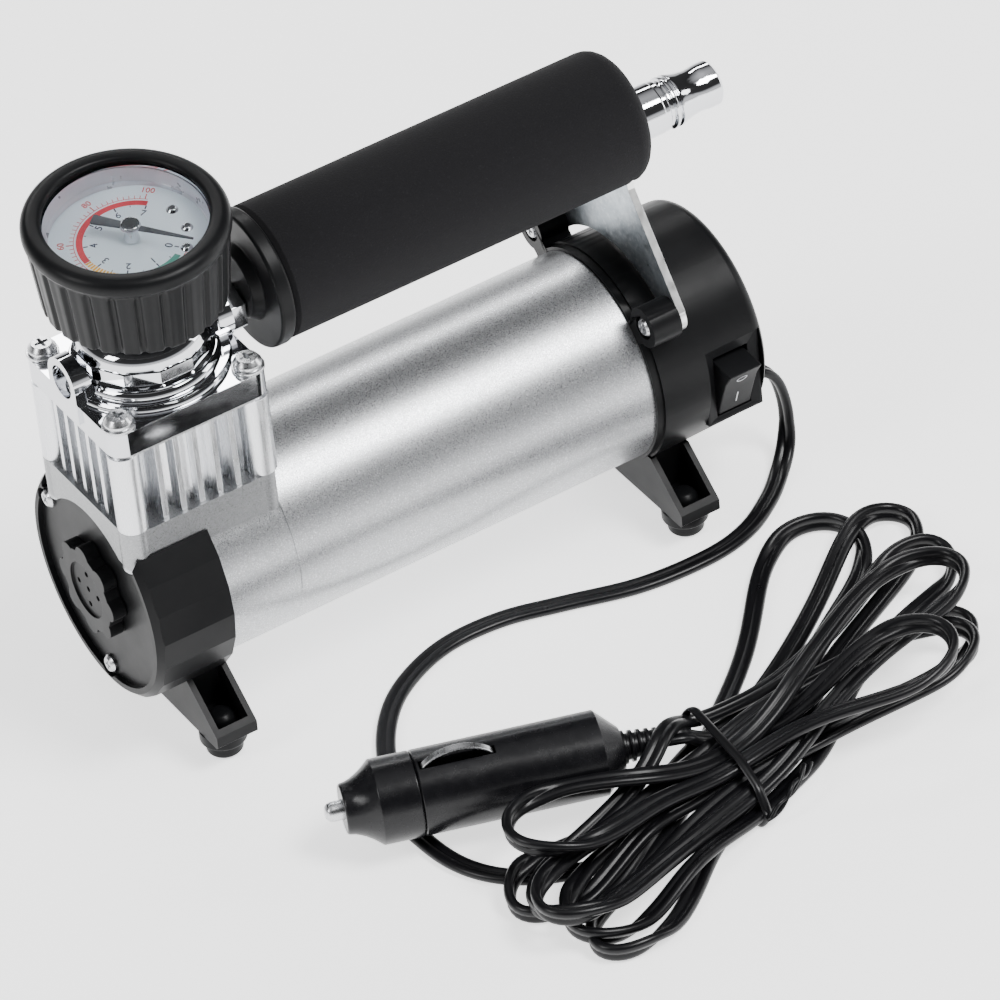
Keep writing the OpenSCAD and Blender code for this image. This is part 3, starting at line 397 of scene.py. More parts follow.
# ---------------------------------------------------------------- mesh helpers
def smooth(obj, sharp=38):
    obj.data.polygons.foreach_set("use_smooth", [True] * len(obj.data.polygons))
    obj.data.set_sharp_from_angle(angle=math.radians(sharp))


def make(name, verts, faces, slot, body, sharp=38):
    mesh = bpy.data.meshes.new(name)
    mesh.from_pydata([tuple(v) for v in verts], [], faces)
    mesh.validate()
    obj = bpy.data.objects.new(name, mesh)
    bpy.context.scene.collection.objects.link(obj)
    bm = bmesh.new()
    bm.from_mesh(mesh)
    bmesh.ops.recalc_face_normals(bm, faces=bm.faces)
    bm.to_mesh(mesh)
    bm.free()
    smooth(obj, sharp)
    wear(obj, slot)
    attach(obj, body)
    return obj


def softened(node, width, segments=2, angle=24, slot=None, sharp=40):
    """A copy of a CAD node with its edges rounded, which stands for it."""
    src = nodes[node]
    obj = bpy.data.objects.new(node + "_detail", src.data.copy())
    bpy.context.scene.collection.objects.link(obj)
    bm = bmesh.new()
    bm.from_mesh(obj.data)
    bmesh.ops.remove_doubles(bm, verts=bm.verts, dist=2e-6)
    bmesh.ops.dissolve_limit(bm, angle_limit=math.radians(0.8), verts=bm.verts, edges=bm.edges)
    edges = [e for e in bm.edges if len(e.link_faces) == 2 and e.calc_face_angle() > math.radians(angle)]
    bmesh.ops.bevel(
        bm, geom=edges, offset=width * MM, offset_type="OFFSET", segments=segments,
        profile=0.5, affect="EDGES", clamp_overlap=True, material=-1, loop_slide=True,
    )
    bmesh.ops.recalc_face_normals(bm, faces=bm.faces)
    bm.to_mesh(obj.data)
    bm.free()
    if obj.data.attributes.get("custom_normal"):
        obj.data.attributes.remove(obj.data.attributes["custom_normal"])
    smooth(obj, sharp)
    mod = obj.modifiers.new("normals", "WEIGHTED_NORMAL")
    mod.keep_sharp = True
    mod.weight = 60
    wear(obj, slot or SLOT_OF[node])
    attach(obj, BODY_OF[node])
    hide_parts(node)
    return obj


def spun(name, profile, origin, axis, slot, body, n=96, sharp=38, shape=None, ring=False):
    """A turned piece. profile is (mm along the axis, radius in mm); shape(t, a, r) may change a radius."""
    w = Vector(axis).normalized()
    u = w.orthogonal().normalized()
    if abs(w.z) > 0.99:
        u = Vector((1, 0, 0))
    v = w.cross(u)
    o = Vector(origin)
    verts, faces = [], []
    for t, r in profile:
        for k in range(n):
            a = 2 * math.pi * k / n
            q = shape(t, a, r) if shape else r
            verts.append(o + w * t * MM + (u * math.cos(a) + v * math.sin(a)) * q * MM)
    rows_n = len(profile)
    for i in range(rows_n if ring else rows_n - 1):
        j = (i + 1) % rows_n
        for k in range(n):
            m = (k + 1) % n
            faces.append((i * n + k, i * n + m, j * n + m, j * n + k))
    for i, flip in () if ring else ((0, True), (rows_n - 1, False)):
        cap = [i * n + k for k in range(n)]
        if profile[i][1] > 0.01:
            faces.append(tuple(reversed(cap)) if flip else tuple(cap))
    obj = make(name, verts, faces, slot, body, sharp)
    bm = bmesh.new()
    bm.from_mesh(obj.data)
    bmesh.ops.remove_doubles(bm, verts=bm.verts, dist=1e-6)
    bmesh.ops.recalc_face_normals(bm, faces=bm.faces)
    bm.to_mesh(obj.data)
    bm.free()
    smooth(obj, sharp)
    return obj


# ---------------------------------------------------------------- the cord
FLOOR = -AXIS_Z / MM
CORD_W, CORD_T = 5.0, 2.4
LIE = FLOOR + CORD_T / 2
ROUTE = [
    (138.6, -12, -17), (142, -12.4, -17.6), (145, -13, -21), (146.4, -14, -27), (146, -15.6, -33),
    (143.4, -18.4, -38.6), (138, -23, LIE), (130, -30, LIE), (119, -36.4, LIE), (106, -39, LIE),
    (87, -37.6, LIE), (68, -31.6, LIE), (53, -27.2, LIE), (38, -26.8, LIE), (25, -31, LIE),
    (14, -38.6, LIE), (4.6, -51, LIE), (-2.4, -68, LIE), (-6, -84, LIE), (-4.6, -97, LIE), (0, -108, LIE),
]
PLUG_TIP = np.array([-25.6, -74.0, -29.3])
PLUG_TURN = math.radians(-19.35)
PLUG_AXIS = np.array([math.cos(PLUG_TURN), math.sin(PLUG_TURN), 0.0])
# along the plug from its tip: the end of the body and of the strain relief; then its radius
PLUG_END, RELIEF_END, PLUG_R = 72.2, 81.6, 10.4
TIE_X, TIE_Y = 62.0, -112.5
# each turn of the hank: direction from the tie in degrees, reach and end radius in mm
RIGHT = [(41, 101, 8.5), (32, 108, 6), (10, 84, 6), (23, 98, 6), (3, 77, 6), (16, 90, 6.5), (-5, 66, 6)]
LEFT = [(210, 67, 6), (186, 68, 6), (204, 67, 6), (193, 70, 6.5), (199, 70, 6), (178, 63, 7)]
# where each turn crosses the tie on its way out and on its way back
NEAR = [-117, -122, -113, -126, -118, -122, -114]
FAR = [-105, -101, -109, -97, -105, -110, -103]
# height of one layer of the hank, and the spacing of the points that settle
LIFT = 4.6
STEP = 3.0
FINE_STEP = 1.5
# a bend gentler than the first, in 1/mm, leaves the cord flat; a tighter one than the second stands it up
FLAT_BEND, FULL_BEND = 0.022, 0.075
ON_EDGE = math.radians(80)


def through(points, step):
    """A smooth curve through the points, cut into equal steps."""
    p = np.array(points, float)
    n = len(p)
    out = []
    for i in range(n - 1):
        a, b, c, d = p[max(i - 1, 0)], p[i], p[i + 1], p[min(i + 2, n - 1)]
        for t in np.linspace(0, 1, 24, endpoint=False):
            out.append(0.5 * (2 * b + (c - a) * t + (2 * a - 5 * b + 4 * c - d) * t * t
                              + (3 * b - a - 3 * c + d) * t ** 3))
    out = np.array(out + [p[-1]])
    s = np.r_[0, np.cumsum(np.linalg.norm(np.diff(out, axis=0), axis=1))]
    q = np.linspace(0, s[-1], int(round(s[-1] / step)) + 1)
    return np.stack([np.interp(q, s, out[:, k]) for k in range(3)], axis=1)


def lobe(angle, reach, radius, z):
    f = np.array([math.cos(math.radians(angle)), math.sin(math.radians(angle))])
    g = np.array([-f[1], f[0]])
    tie = np.array([TIE_X, TIE_Y])
    c = tie + f * (reach - radius)
    pts = [tie + f * reach * 0.42 - g * radius * 0.9]
    for a in (-100, -60, -20, 20, 60, 100):
        pts.append(c + f * radius * math.cos(math.radians(a)) + g * radius * math.sin(math.radians(a)))
    pts.append(tie + f * reach * 0.42 + g * radius * 0.9)
    return [(q[0], q[1], z) for q in pts]


def hank_points():
    pts = list(ROUTE) + [(18, -115, LIE + 0.4), (40, -118, LIE + 0.8)]
    for k, (angle, reach, radius) in enumerate(RIGHT):
        z = FLOOR + 2.2 + LIFT * k
        pts.append((TIE_X, NEAR[k], z))
        pts += lobe(angle, reach, radius, z)
        if k < len(LEFT):
            pts.append((TIE_X, FAR[k], z + LIFT / 2))
            pts += lobe(*LEFT[k], z + LIFT / 2)
    pts += [(66, -106.0, -31.0), (57.5, -103.3, -29.6), tuple(PLUG_TIP + PLUG_AXIS * RELIEF_END)]
    return pts


def settle(p, fixed, rounds=250, thick=LIFT, fall=0.05):
    """Lets the hank sink under its own weight: it keeps its length, rests on itself and on the floor."""
    n = len(p)
    idx = np.arange(n)
    rest = np.linalg.norm(np.diff(p, axis=0), axis=1)
    w = np.where(fixed, 0.0, 1.0)
    tied = (np.abs(p[:, 0] - TIE_X) < 4) & (p[:, 1] < -90) & ~fixed
    for turn in range(rounds):
        p[:, 2] -= fall * w
        if turn % 4 == 0:
            d2 = ((p[:, None, :] - p[None, :, :]) ** 2).sum(-1)
            first, second = np.where(np.triu(d2 < (thick + 2.5) ** 2, k=5))
        for _ in range(3):
            v = p[second] - p[first]
            length = np.sqrt((v ** 2).sum(1)) + 1e-9
            hit = length < thick
            if hit.any():
                i, j = first[hit], second[hit]
                push = v[hit] / length[hit, None] + np.array([0, 0, 0.25])
                push /= np.linalg.norm(push, axis=1)[:, None]
                share = (thick - length[hit]) * 0.5
                both = np.maximum(w[i] + w[j], 1e-9)
                acc, count = np.zeros_like(p), np.zeros(n)
                np.add.at(acc, i, -(push * share[:, None]) * (2 * w[i] / both)[:, None])
                np.add.at(acc, j, (push * share[:, None]) * (2 * w[j] / both)[:, None])
                np.add.at(count, i, 1)
                np.add.at(count, j, 1)
                p += acc / np.maximum(count, 1)[:, None]
            for m, stiff in ((1, 0.10), (3, 0.03)):
                pull = ((p[:-2 * m] + p[2 * m:]) / 2 - p[m:-m]) * stiff * w[m:-m, None]
                p[m:-m] += pull
                p[:-2 * m] -= pull * 0.5 * w[:-2 * m, None]
                p[2 * m:] -= pull * 0.5 * w[2 * m:, None]
            for start in (0, 1, 0, 1):
                a = idx[start:-1:2]
                b = a + 1
                v = p[b] - p[a]
                length = np.sqrt((v ** 2).sum(1)) + 1e-9
                both = np.maximum(w[a] + w[b], 1e-9)
                fix = (length - rest[a]) / length
                p[a] += v * (fix * w[a] / both)[:, None]
                p[b] -= v * (fix * w[b] / both)[:, None]
            q = p[tied]
            q[:, 1] = np.clip(q[:, 1], -127.5, -97.5)
            q[:, 2] = np.minimum(q[:, 2], FLOOR + 11.5)
            p[tied] = q
            p[:, 2] = np.where(w > 0, np.maximum(p[:, 2], FLOOR + 1.5), p[:, 2])
            rel = p - PLUG_TIP
            t = np.clip(rel @ PLUG_AXIS, 0, 68.0)
            v = rel - t[:, None] * PLUG_AXIS
            length = np.linalg.norm(v, axis=1)
            keep = np.where(t < PLUG_END, PLUG_R + 2.3, 5.0)
            h = (length < keep) & (w > 0) & (idx < n - 16)
            p[h] += v[h] / length[h, None] * (keep[h] - length[h])[:, None]
    for _ in range(6):
        mid = p[1:-1] * 0.5 + (p[:-2] + p[2:]) * 0.25
        p[1:-1] = np.where(fixed[1:-1, None], p[1:-1], mid)
    return p


def cord_path():
    p = through(hank_points(), STEP)
    begin = int(np.argmin(np.linalg.norm(p - np.array(ROUTE[-3]), axis=1)))
    fixed = np.zeros(len(p), bool)
    fixed[:begin] = True
    fixed[-3:] = True
    return settle(p, fixed), begin


def twin_section():
    """Half-round edges with a groove along the middle of both flat sides."""
    pts = []
    r = CORD_T / 2
    c = CORD_W / 2 - r
    for s in (1, -1):
        for a in range(-90, 91, 20):
            q = (s * (c + r * math.cos(math.radians(a))), s * r * math.sin(math.radians(a)))
            pts.append(q)
        pts.append((s * 0.42, s * r * 0.93))
        pts.append((s * 0.12, s * r * 0.66))
        pts.append((-s * 0.12, s * r * 0.66))
        pts.append((-s * 0.42, s * r * 0.93))
    return pts


def make_cord():
    coarse, begin = cord_path()
    p = through(coarse, FINE_STEP)
    n = len(p)
    tangent = np.gradient(p, axis=0)
    tangent /= np.linalg.norm(tangent, axis=1)[:, None]
    s = np.r_[0, np.cumsum(np.linalg.norm(np.diff(p, axis=0), axis=1))]
    flat = np.cross(tangent, np.array([0, 0, 1.0]))
    drop = np.array([0, 1.0, 0]) - tangent * tangent[:, 1:2]
    landed = s[int(np.argmax(p[:, 2] < LIE + 2.5))]
    down = np.clip((landed - s) / 9, 0, 1)
    flat /= np.linalg.norm(flat, axis=1)[:, None] + 1e-9
    side = flat * (1 - down[:, None]) + drop * down[:, None]
    side -= tangent * (side * tangent).sum(1)[:, None]
    side /= np.linalg.norm(side, axis=1)[:, None]
    up = np.cross(side, tangent)
    # the flat cord rolls a little in the hank, and hardly at all along the floor
    start = begin * STEP
    amount = np.clip((s - start) / 120, 0, 1) * np.clip((s[-1] - s) / 40, 0, 1)
    roll = amount * (0.22 * np.sin(s / 41.0 + 0.7) + 0.16 * np.sin(s / 23.0 + 2.1))
    # a flat cord bends round its thin way, so it stands on edge where a turn folds back
    heading = np.unwrap(np.arctan2(tangent[:, 1], tangent[:, 0]))
    bend = np.abs(np.gradient(heading, s))
    bend = np.convolve(bend, np.ones(9) / 9, mode="same")
    fold = np.clip((bend - FLAT_BEND) / (FULL_BEND - FLAT_BEND), 0, 1)
    fold = fold * fold * (3 - 2 * fold) * amount
    fold = np.convolve(fold, np.ones(7) / 7, mode="same")
    roll = roll * (1 - fold) + fold * ON_EDGE
    tall = np.abs(np.sin(roll)) * CORD_W / 2 + np.abs(np.cos(roll)) * CORD_T / 2
    lift = np.maximum(p[:, 2], FLOOR + tall + 0.05) - p[:, 2]
    p[:, 2] += np.convolve(lift, np.ones(5) / 5, mode="same") * amount
    wide = side * np.cos(roll)[:, None] + up * np.sin(roll)[:, None]
    thin = np.cross(wide, tangent)
    section = twin_section()
    m = len(section)
    verts = []
    for i in range(n):
        for a, b in section:
            verts.append(p[i] + wide[i] * a + thin[i] * b)
    verts = rows(verts)
    faces = []
    for i in range(n - 1):
        for k in range(m):
            q = (k + 1) % m
            faces.append((i * m + k, i * m + q, (i + 1) * m + q, (i + 1) * m + k))
    faces.append(tuple(range(m - 1, -1, -1)))
    faces.append(tuple((n - 1) * m + k for k in range(m)))
    cord = make("cord", verts, faces, "cord_pvc", "pump", sharp=50)
    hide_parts("cord_tube", "cord_hank")
    return cord, p


cord, cord_line = make_cord()


def make_tie():
    """The loop of a wire tie drawn tight round the runs; its band and its twisted ends are swept from it
    afterwards.
    """
    near_tie = cord_line[(np.abs(cord_line[:, 0] - TIE_X) < 1.2) & (cord_line[:, 1] < -90)]
    q = near_tie[:, 1:3]
    ring = []
    centre = q.mean(0)
    for k in range(48):
        a = 2 * math.pi * k / 48
        d = np.array([math.cos(a), math.sin(a)])
        reach = ((q - centre) @ d).max() + 2.35
        ring.append((a, reach))
    reach = np.array([r for _, r in ring])
    pts = []
    for k, (a, _) in enumerate(ring):
        # support function to outline
        h = reach[k]
        dh = (reach[(k + 1) % 48] - reach[k - 1]) / (2 * 2 * math.pi / 48)
        y = centre[0] + h * math.cos(a) - dh * math.sin(a)
        z = centre[1] + h * math.sin(a) + dh * math.cos(a)
        pts.append((TIE_X + 1.6 * math.sin(a), y, max(z, FLOOR + 0.75)))
    loop = np.array(pts)
    loop = np.r_[loop[-9:], loop[:-8]]
    return loop


def swept(name, line, half_w, half_t, slot, body, normal_from=None, sides=10, closed=False):
    """A rounded strip along a line; normal_from gives the way its flat side faces."""
    p = np.array(line, float)
    n = len(p)
    t = np.gradient(p, axis=0)
    if closed:
        t = np.roll(p, -1, 0) - np.roll(p, 1, 0)
    t /= np.linalg.norm(t, axis=1)[:, None]
    nrm = np.array(normal_from, float) if normal_from is not None else np.tile([0, 0, 1.0], (n, 1))
    side = np.cross(t, nrm)
    side /= np.linalg.norm(side, axis=1)[:, None] + 1e-9
    nrm = np.cross(side, t)
    verts, faces = [], []
    for i in range(n):
        for k in range(sides):
            a = 2 * math.pi * k / sides
            verts.append(p[i] + side[i] * half_w * math.cos(a) + nrm[i] * half_t * math.sin(a))
    last = n if closed else n - 1
    for i in range(last):
        for k in range(sides):
            q = (k + 1) % sides
            j = (i + 1) % n
            faces.append((i * sides + k, i * sides + q, j * sides + q, j * sides + k))
    if not closed:
        faces.append(tuple(range(sides - 1, -1, -1)))
        faces.append(tuple((n - 1) * sides + k for k in range(sides)))
    return make(name, rows(verts), faces, slot, body, sharp=60)


tie_loop = make_tie()
tie_centre = tie_loop.mean(0)
band = swept(
    "tie_band", tie_loop[1:], 1.3, 0.7, "cord_pvc", "pump",
    normal_from=(tie_loop - tie_centre)[1:], closed=True,
)
low = tie_loop[np.argmin(tie_loop[:, 1])]
for number, phase in enumerate((0.0, math.pi)):
    line = []
    for i in range(40):
        u = i / 39
        a = phase + u * 9.5
        spread = 0.75 + 1.6 * max(0.0, u - 0.6) * (1 if phase else 1.6)
        c = low + np.array([17.0 * u, -1.3 + 8.0 * u * u, 0.8 + 4.0 * math.sin(u * 2.4)])
        line.append(c + np.array([math.cos(a) * spread * 0.5, 0.2 * math.sin(a), math.sin(a) * spread]))
    swept("tie_tail_%d" % number, line, 0.6, 0.5, "cord_pvc", "pump")
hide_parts("hank_tie")


# ---------------------------------------------------------------- the pieces of the frame
# node, rounding in mm, segments, and what differs from the usual
ROUNDED = [
    ("front_cover", 0.22, 2, {"angle": 9, "sharp": 8}),
    ("filter_cap", 0.45, 3, {}),
    ("crankcase", 0.35, 2, {}),
    ("motor_can", 0.30, 2, {}),
    ("cylinder", 0.22, 2, {}),
    ("cylinder_head", 0.50, 3, {}),
    ("outlet_nut", 0.35, 2, {}),
    ("quick_plug", 0.22, 2, {}),
    ("handle_bracket", 0.30, 2, {}),
    ("rear_cap", 0.40, 2, {}),
    ("feet", 0.35, 2, {}),
    ("switch_bezel", 0.22, 2, {"angle": 8, "sharp": 12}),
    ("switch_rocker", 0.30, 2, {"angle": 16, "sharp": 20}),
    ("head_screws", 0.16, 2, {}),
    ("cover_screws", 0.14, 2, {}),
    ("bracket_screws", 0.14, 2, {}),
    ("head_washers", 0.12, 2, {}),
    ("handle_flange", 0.35, 2, {}),
    ("cord_gland", 0.30, 2, {}),
    ("foam_grip", 0.40, 2, {}),
    ("plug_body", 0.25, 2, {}),
    ("plug_nose", 0.20, 2, {}),
    ("plug_pin", 0.20, 2, {"slot": "steel"}),
    ("plug_clip", 0.10, 1, {}),
    ("plug_relief", 0.30, 2, {}),
    ("gauge_needle", 0.04, 1, {}),
    ("needle_hub", 0.25, 3, {"slot": "chrome"}),
    ("dial_screws", 0.20, 3, {"slot": "chrome"}),
]
for node, width, segments, extra in ROUNDED:
    softened(node, width, segments, **extra)


# ---------------------------------------------------------------- the rubber boot
RIBS = 25
GROOVE_TOP = GAUGE_TOP - 5.6 - LEAN_Z


def ease(v, lo, hi):
    v = min(1.0, max(0.0, (v - lo) / (hi - lo)))
    return v * v * (3 - 2 * v)


def make_boot():
    pitch = 2 * math.pi / RIBS

    def grooved(t, a, r):
        if r < 20.8:
            return r
        off = abs((a / pitch + 0.5) % 1.0 - 0.5) * pitch * r
        dist = math.hypot(off, max(0.0, t - GROOVE_TOP))
        return r - 0.75 * (1 - ease(dist, 0.25, 1.25)) - 0.10 * ease(dist, 1.6, 3.0) * (t < GROOVE_TOP + 1)

    z0, z1 = BOOT_Z0 - LEAN_Z, GAUGE_TOP - LEAN_Z
    foot = BOOT_R - 2.3
    outer = [(z0, 11.3), (z0, foot - 1.2), (z0 + 0.12, foot - 0.6), (z0 + 0.5, foot - 0.15), (z0 + 1.0, foot)]
    rim = z1 - 4.6
    for k in range(1, 46):
        u = k / 45
        outer.append((z0 + 1.0 + (rim - z0 - 1.0) * u, foot + (BOOT_R - 0.55 - foot) * u))
    for k in range(1, 8):
        outer.append((rim + 1.3 * k / 7, BOOT_R - 0.55 + 0.55 * ease(k / 7, 0, 1)))
    # the rolled rim, then down to the lip that holds the glass
    c_r, c_z, roll = BOOT_R - 2.5, z1 - 2.5, 2.5
    for k in range(0, 19):
        a = math.radians(5 * k)
        outer.append((c_z + roll * math.sin(a), c_r + roll * math.cos(a)))
    for k in range(1, 10):
        a = math.radians(10 * k)
        outer.append((z1 - 1.1 + 1.1 * math.cos(a), 20.7 - 1.15 * math.sin(a)))
    outer += [(z1 - 1.42, 19.55), (z1 - 1.42, 20.6), (z0 + 2.0, 20.6), (z0 + 2.0, 11.3)]
    up = TURN.to_3x3() @ Vector((0, 0, 1))
    boot = spun(
        "boot_detail", outer, on_gauge(0, 0, LEAN_Z), up, "rubber", "pump",
        n=RIBS * 24, sharp=50, shape=grooved, ring=True,
    )
    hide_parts("gauge_boot")


make_boot()


# ---------------------------------------------------------------- the chrome under the gauge
def make_base():
    """Rolled rings on the head plate, a twelve-sided foot, a dome and the neck that leans with the gauge."""
    up = Vector((0, 0, 1))
    foot, dome_z = 16.6, 67.0

    def sides(t, a, r):
        if 62.6 < t < 66.6 and r > 15:
            step = math.pi / 6
            off = (a + step / 2) % step - step / 2
            return r * math.cos(step / 2) / math.cos(off) if abs(off) < step / 2 else r
        return r

    profile = [(62.25, 14.0), (62.25, 16.9), (62.5, 17.15), (62.8, 16.9), (62.95, foot)]
    profile += [(63.2 + 3.1 * k / 6, foot + 0.2) for k in range(7)]
    profile += [(66.5, foot - 0.2), (dome_z, foot - 0.35)]
    for k in range(0, 13):
        a = math.radians(5 + 6.2 * k)
        profile.append((dome_z + 0.25 + 4.3 * math.sin(a), 11.2 + 4.85 * math.cos(a)))
    profile.append((dome_z + 4.55, 11.2))
    profile.append((dome_z + 4.55, 9.0))
    profile.append((62.25, 9.0))
    base = spun(
        "base_detail", profile, row(CYL_X, 0, 0), up, "chrome", "pump",
        n=288, sharp=28, shape=sides, ring=True,
    )
    lean = TURN.to_3x3() @ up
    neck = [(z - LEAN_Z, r) for z, r in (
        (70.2, 9.0), (70.2, 11.3), (72.4, 11.3), (73.2, 11.5), (73.8, 12.1),
        (74.4, 12.2), (75.0, 11.7), (75.6, 11.2), (79.9, 11.2), (79.9, 9.0),
    )]
    spun("neck_detail", neck, on_gauge(0, 0, LEAN_Z), lean, "chrome", "pump", n=192, sharp=40, ring=True)
    rings = (("ring_outer", 16.9, 20.6, 57.9, 1.9), ("ring_inner", 14.0, 18.3, 59.6, 2.7))
    for name, r0, r1, z0, roll in rings:
        ring_profile = [(z0, r1), (z0, r0)]
        for k in range(0, 13):
            a = math.radians(90 - 7.5 * k)
            ring_profile.append((z0 + roll * math.sin(a), r1 - roll + roll * math.cos(a)))
        spun(
            name + "_detail", ring_profile, row(CYL_X, 0, 0), up, "chrome", "pump",
            n=192, sharp=50, ring=True,
        )
    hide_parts("gauge_base")


make_base()


# ---------------------------------------------------------------- the dial's print
FACE = DIAL_Z + 0.05


def flat_piece(name, outlines, slot, body, z):
    """Thin print on the dial: each outline is a closed ring of (x, y) points."""
    verts, faces = [], []
    for ring in outlines:
        n = len(ring)
        base = len(verts)
        verts += [on_gauge(PIVOT_OFF + x, y, z) for x, y in ring]
        verts += [on_gauge(PIVOT_OFF + x, y, z - 0.04) for x, y in ring]
        faces.append(tuple(base + k for k in range(n)))
        for k in range(n):
            q = (k + 1) % n
            faces.append((base + k, base + n + k, base + n + q, base + q))
    return make(name, verts, faces, slot, body, sharp=30)


def arc_band(r0, r1, a0, a1, n=40):
    pts = [(r1 * math.cos(a), r1 * math.sin(a)) for a in np.linspace(a0, a1, n)]
    pts += [(r0 * math.cos(a), r0 * math.sin(a)) for a in np.linspace(a1, a0, n)]
    return pts


def tick(angle, r0, r1, width):
    c, q = math.cos(angle), math.sin(angle)
    h = width / 2
    return [(r0 * c + h * q, r0 * q - h * c), (r1 * c + h * q, r1 * q - h * c),
            (r1 * c - h * q, r1 * q + h * c), (r0 * c - h * q, r0 * q + h * c)]


def lettering(text, size, placing, slot, body, name, stroke=0.0):
    """Solid figures; placing maps (x, y) in mm of the figure to a point of the frame."""
    curve = bpy.data.curves.new(name, "FONT")
    curve.body = text
    curve.size = 1.0
    curve.align_x = "CENTER"
    curve.align_y = "CENTER"
    curve.offset = stroke
    curve.extrude = 0.02
    holder = bpy.data.objects.new(name, curve)
    bpy.context.scene.collection.objects.link(holder)
    deps = bpy.context.evaluated_depsgraph_get()
    mesh = bpy.data.meshes.new_from_object(holder.evaluated_get(deps))
    bpy.data.objects.remove(holder)
    for v in mesh.vertices:
        v.co = placing(v.co.x * size, v.co.y * size, v.co.z * size)
    obj = bpy.data.objects.new(name, mesh)
    bpy.context.scene.collection.objects.link(obj)
    wear(obj, slot)
    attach(obj, body)
    return obj


ZERO = math.radians(-50)
SWEEP = math.radians(268)
BAR_STEP = SWEEP / 7
PSI_STEP = BAR_STEP / 14.5


def radial(angle, r, z):
    """Places a figure with its foot towards the centre."""
    c, q = math.cos(angle), math.sin(angle)

    def place(x, y, lift):
        return on_gauge(PIVOT_OFF + (r + y) * c + x * q, (r + y) * q - x * c, z + lift)
    return place


def make_dial():
    def bar(v):
        return ZERO - BAR_STEP * v

    def psi(v):
        return ZERO - PSI_STEP * v

    dark = [tick(bar(v), 10.4, 11.5, 0.32) for v in range(8)]
    dark += [tick(bar(v + 0.5), 10.9, 11.4, 0.2) for v in range(7)]
    flat_piece("dial_ticks_bar", dark, "dial_ink", "pump", FACE)
    red = []
    for v in range(0, 102, 2):
        reach = 15.4 if v % 20 == 0 else (14.95 if v % 10 == 0 else 14.7)
        red.append(tick(psi(v), 13.75, reach, 0.26 if v % 20 == 0 else 0.16))
    red.append(arc_band(13.6, 13.74, psi(101), psi(0), 90))
    flat_piece("dial_ticks_psi", red, "dial_red", "pump", FACE)
    flat_piece("dial_arc_red", [arc_band(11.55, 13.1, bar(7), bar(3.35), 60)], "dial_red", "pump", FACE)
    amber = [arc_band(11.55, 13.1, bar(3.33 - 0.10 * k), bar(3.33 - 0.10 * k - 0.065), 4) for k in range(13)]
    flat_piece("dial_arc_amber", amber, "dial_amber", "pump", FACE)
    flat_piece("dial_arc_green", [arc_band(11.55, 13.1, bar(2.03), bar(0.3), 40)], "dial_green", "pump", FACE)
    for v in range(8):
        lettering(str(v), 2.7, radial(bar(v), 8.9, FACE), "dial_ink", "pump", "dial_bar_%d" % v)
    for v in (20, 40, 60, 80, 100):
        lettering(str(v), 2.3, radial(psi(v), 16.6, FACE), "dial_red", "pump", "dial_psi_%d" % v)


make_dial()


# the bright inner wall between the glass and the dial
def make_bezel_wall():
    up = TURN.to_3x3() @ Vector((0, 0, 1))
    above_dial = (
        (0.02, 19.45), (0.02, 18.9), (0.25, 18.7), (0.5, 18.9),
        (1.6, 19.15), (1.9, 19.0), (2.2, 19.25), (5.7, 19.45),
    )
    profile = [(DIAL_Z + h - LEAN_Z, r) for h, r in above_dial]
    spun("bezel_wall", profile, on_gauge(0, 0, LEAN_Z), up, "case_wall", "pump", n=160, sharp=60, ring=True)


make_bezel_wall()


# ---------------------------------------------------------------- marks on the rocker
SWITCH_X = 125.2
ROCKER_FACE = [(-32.4, 2.6), (-30.0, -1.0), (-28.3, -5.0), (-26.8, -9.0), (-25.6, -12.7)]


def on_rocker(depth):
    """Marks on the rocker's face: x along the motor, y up the face, depth down it from the ridge."""
    def place(x, y, lift):
        left = depth - y
        for p, q in zip(ROCKER_FACE, ROCKER_FACE[1:]):
            p, q = Vector(p), Vector(q)
            long = (q - p).length
            if left <= long or q.y < -12:
                break
            left -= long
        d = (q - p) / long
        out = Vector((d.y, -d.x))
        at = p + d * left + out * (0.04 + lift)
        return row(SWITCH_X + x, at.x, at.y)
    return place


def make_marks():
    ring = on_rocker(4.0)
    verts, faces = [], []
    n = 40
    for k in range(n):
        a = 2 * math.pi * k / n
        for r, lift in ((1.0, -0.05), (1.0, 0.02), (0.80, 0.02), (0.80, -0.05)):
            verts.append(ring(1.55 * r * math.cos(a), 1.15 * r * math.sin(a), lift))
    for k in range(n):
        m = (k + 1) % n
        for j in range(3):
            faces.append((4 * k + j, 4 * k + j + 1, 4 * m + j + 1, 4 * m + j))
    make("switch_ring", verts, faces, "switch_mark", "rocker", sharp=50)
    line = on_rocker(12.1)
    bar = []
    for lift in (-0.05, 0.03):
        for x, y in ((-0.17, 1.9), (0.17, 1.9), (0.17, -1.9), (-0.17, -1.9)):
            bar.append(line(x, y, lift))
    box = [(3, 2, 1, 0), (4, 5, 6, 7), (0, 1, 5, 4), (1, 2, 6, 5), (2, 3, 7, 6), (3, 0, 4, 7)]
    make("switch_line", bar, box, "switch_mark", "rocker", sharp=50)


make_marks()


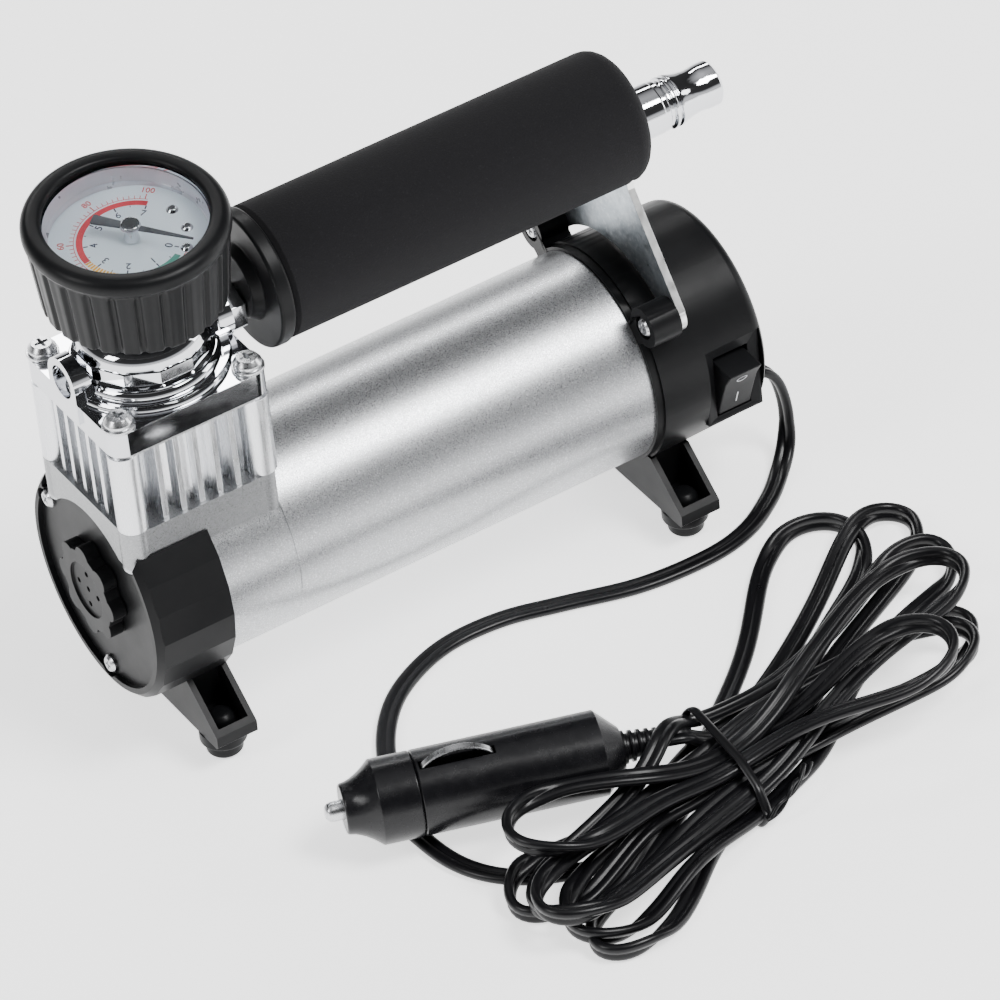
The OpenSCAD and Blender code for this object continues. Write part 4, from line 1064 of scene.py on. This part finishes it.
# ---------------------------------------------------------------- stage
def make_stage():
    mesh = bpy.data.meshes.new("floor")
    s = 6.0
    mesh.from_pydata([(-s, -s, 0), (s, -s, 0), (s, s, 0), (-s, s, 0)], [], [(0, 1, 2, 3)])
    floor = bpy.data.objects.new("floor", mesh)
    bpy.context.scene.collection.objects.link(floor)
    m = Look(
        "floor", (0.95, 0.95, 0.95), rough=0.9, Specular_IOR_Level=0.05,
        Emission_Strength=1.5, Emission_Color=(1, 1, 1, 1),
    )
    m.paint(m.ramp(m.noise(60, 2), 0.4, 0.7, 0.0, 0.5), (0.96, 0.96, 0.96))
    m.polish(m.noise(5, 2), 0.05)
    m.bump(m.noise(2, 2), 0.02, 0.1)
    mesh.materials.append(m.mat)

    world = bpy.data.worlds.new("studio")
    bpy.context.scene.world = world
    world.use_nodes = True
    t = world.node_tree
    bg = t.nodes["Background"]
    coord = t.nodes.new("ShaderNodeTexCoord")
    xyz = t.nodes.new("ShaderNodeSeparateXYZ")
    t.links.new(coord.outputs["Generated"], xyz.inputs[0])
    ramp = t.nodes.new("ShaderNodeValToRGB")
    ramp.color_ramp.elements[0].position = 0.0
    ramp.color_ramp.elements[0].color = (1.0, 1.0, 1.0, 1)
    ramp.color_ramp.elements[1].position = 1.0
    ramp.color_ramp.elements[1].color = (0.9, 0.9, 0.92, 1)
    for at, v in ((0.15, 0.9), (0.30, 0.05), (0.74, 0.035), (0.90, 0.5)):
        e = ramp.color_ramp.elements.new(at)
        e.color = (v, v, v * 1.02, 1)
    t.links.new(xyz.outputs[2], ramp.inputs[0])
    t.links.new(ramp.outputs[0], bg.inputs[0])
    bg.inputs[1].default_value = 1.0

    def area(name, at, to, size, power, size_y=None):
        light = bpy.data.lights.new(name, "AREA")
        light.shape = "RECTANGLE"
        light.size = size
        light.size_y = size_y or size
        light.energy = power
        o = bpy.data.objects.new(name, light)
        bpy.context.scene.collection.objects.link(o)
        o.location = at
        d = Vector(to) - Vector(at)
        o.rotation_euler = d.to_track_quat("-Z", "Y").to_euler()

    area("key", (0.62, -0.95, 1.75), (0, 0, 0.05), 0.75, 42, size_y=0.75)
    area("left", (-1.5, -0.1, 1.2), (0, 0, 0.05), 0.5, 14, size_y=0.9)
    area("fill", (1.3, -0.5, 0.5), (0, 0, 0.05), 0.4, 5, size_y=0.7)
    area("rim", (0.5, 1.5, 1.3), (0, 0, 0.06), 1.1, 12, size_y=0.25)


make_stage()
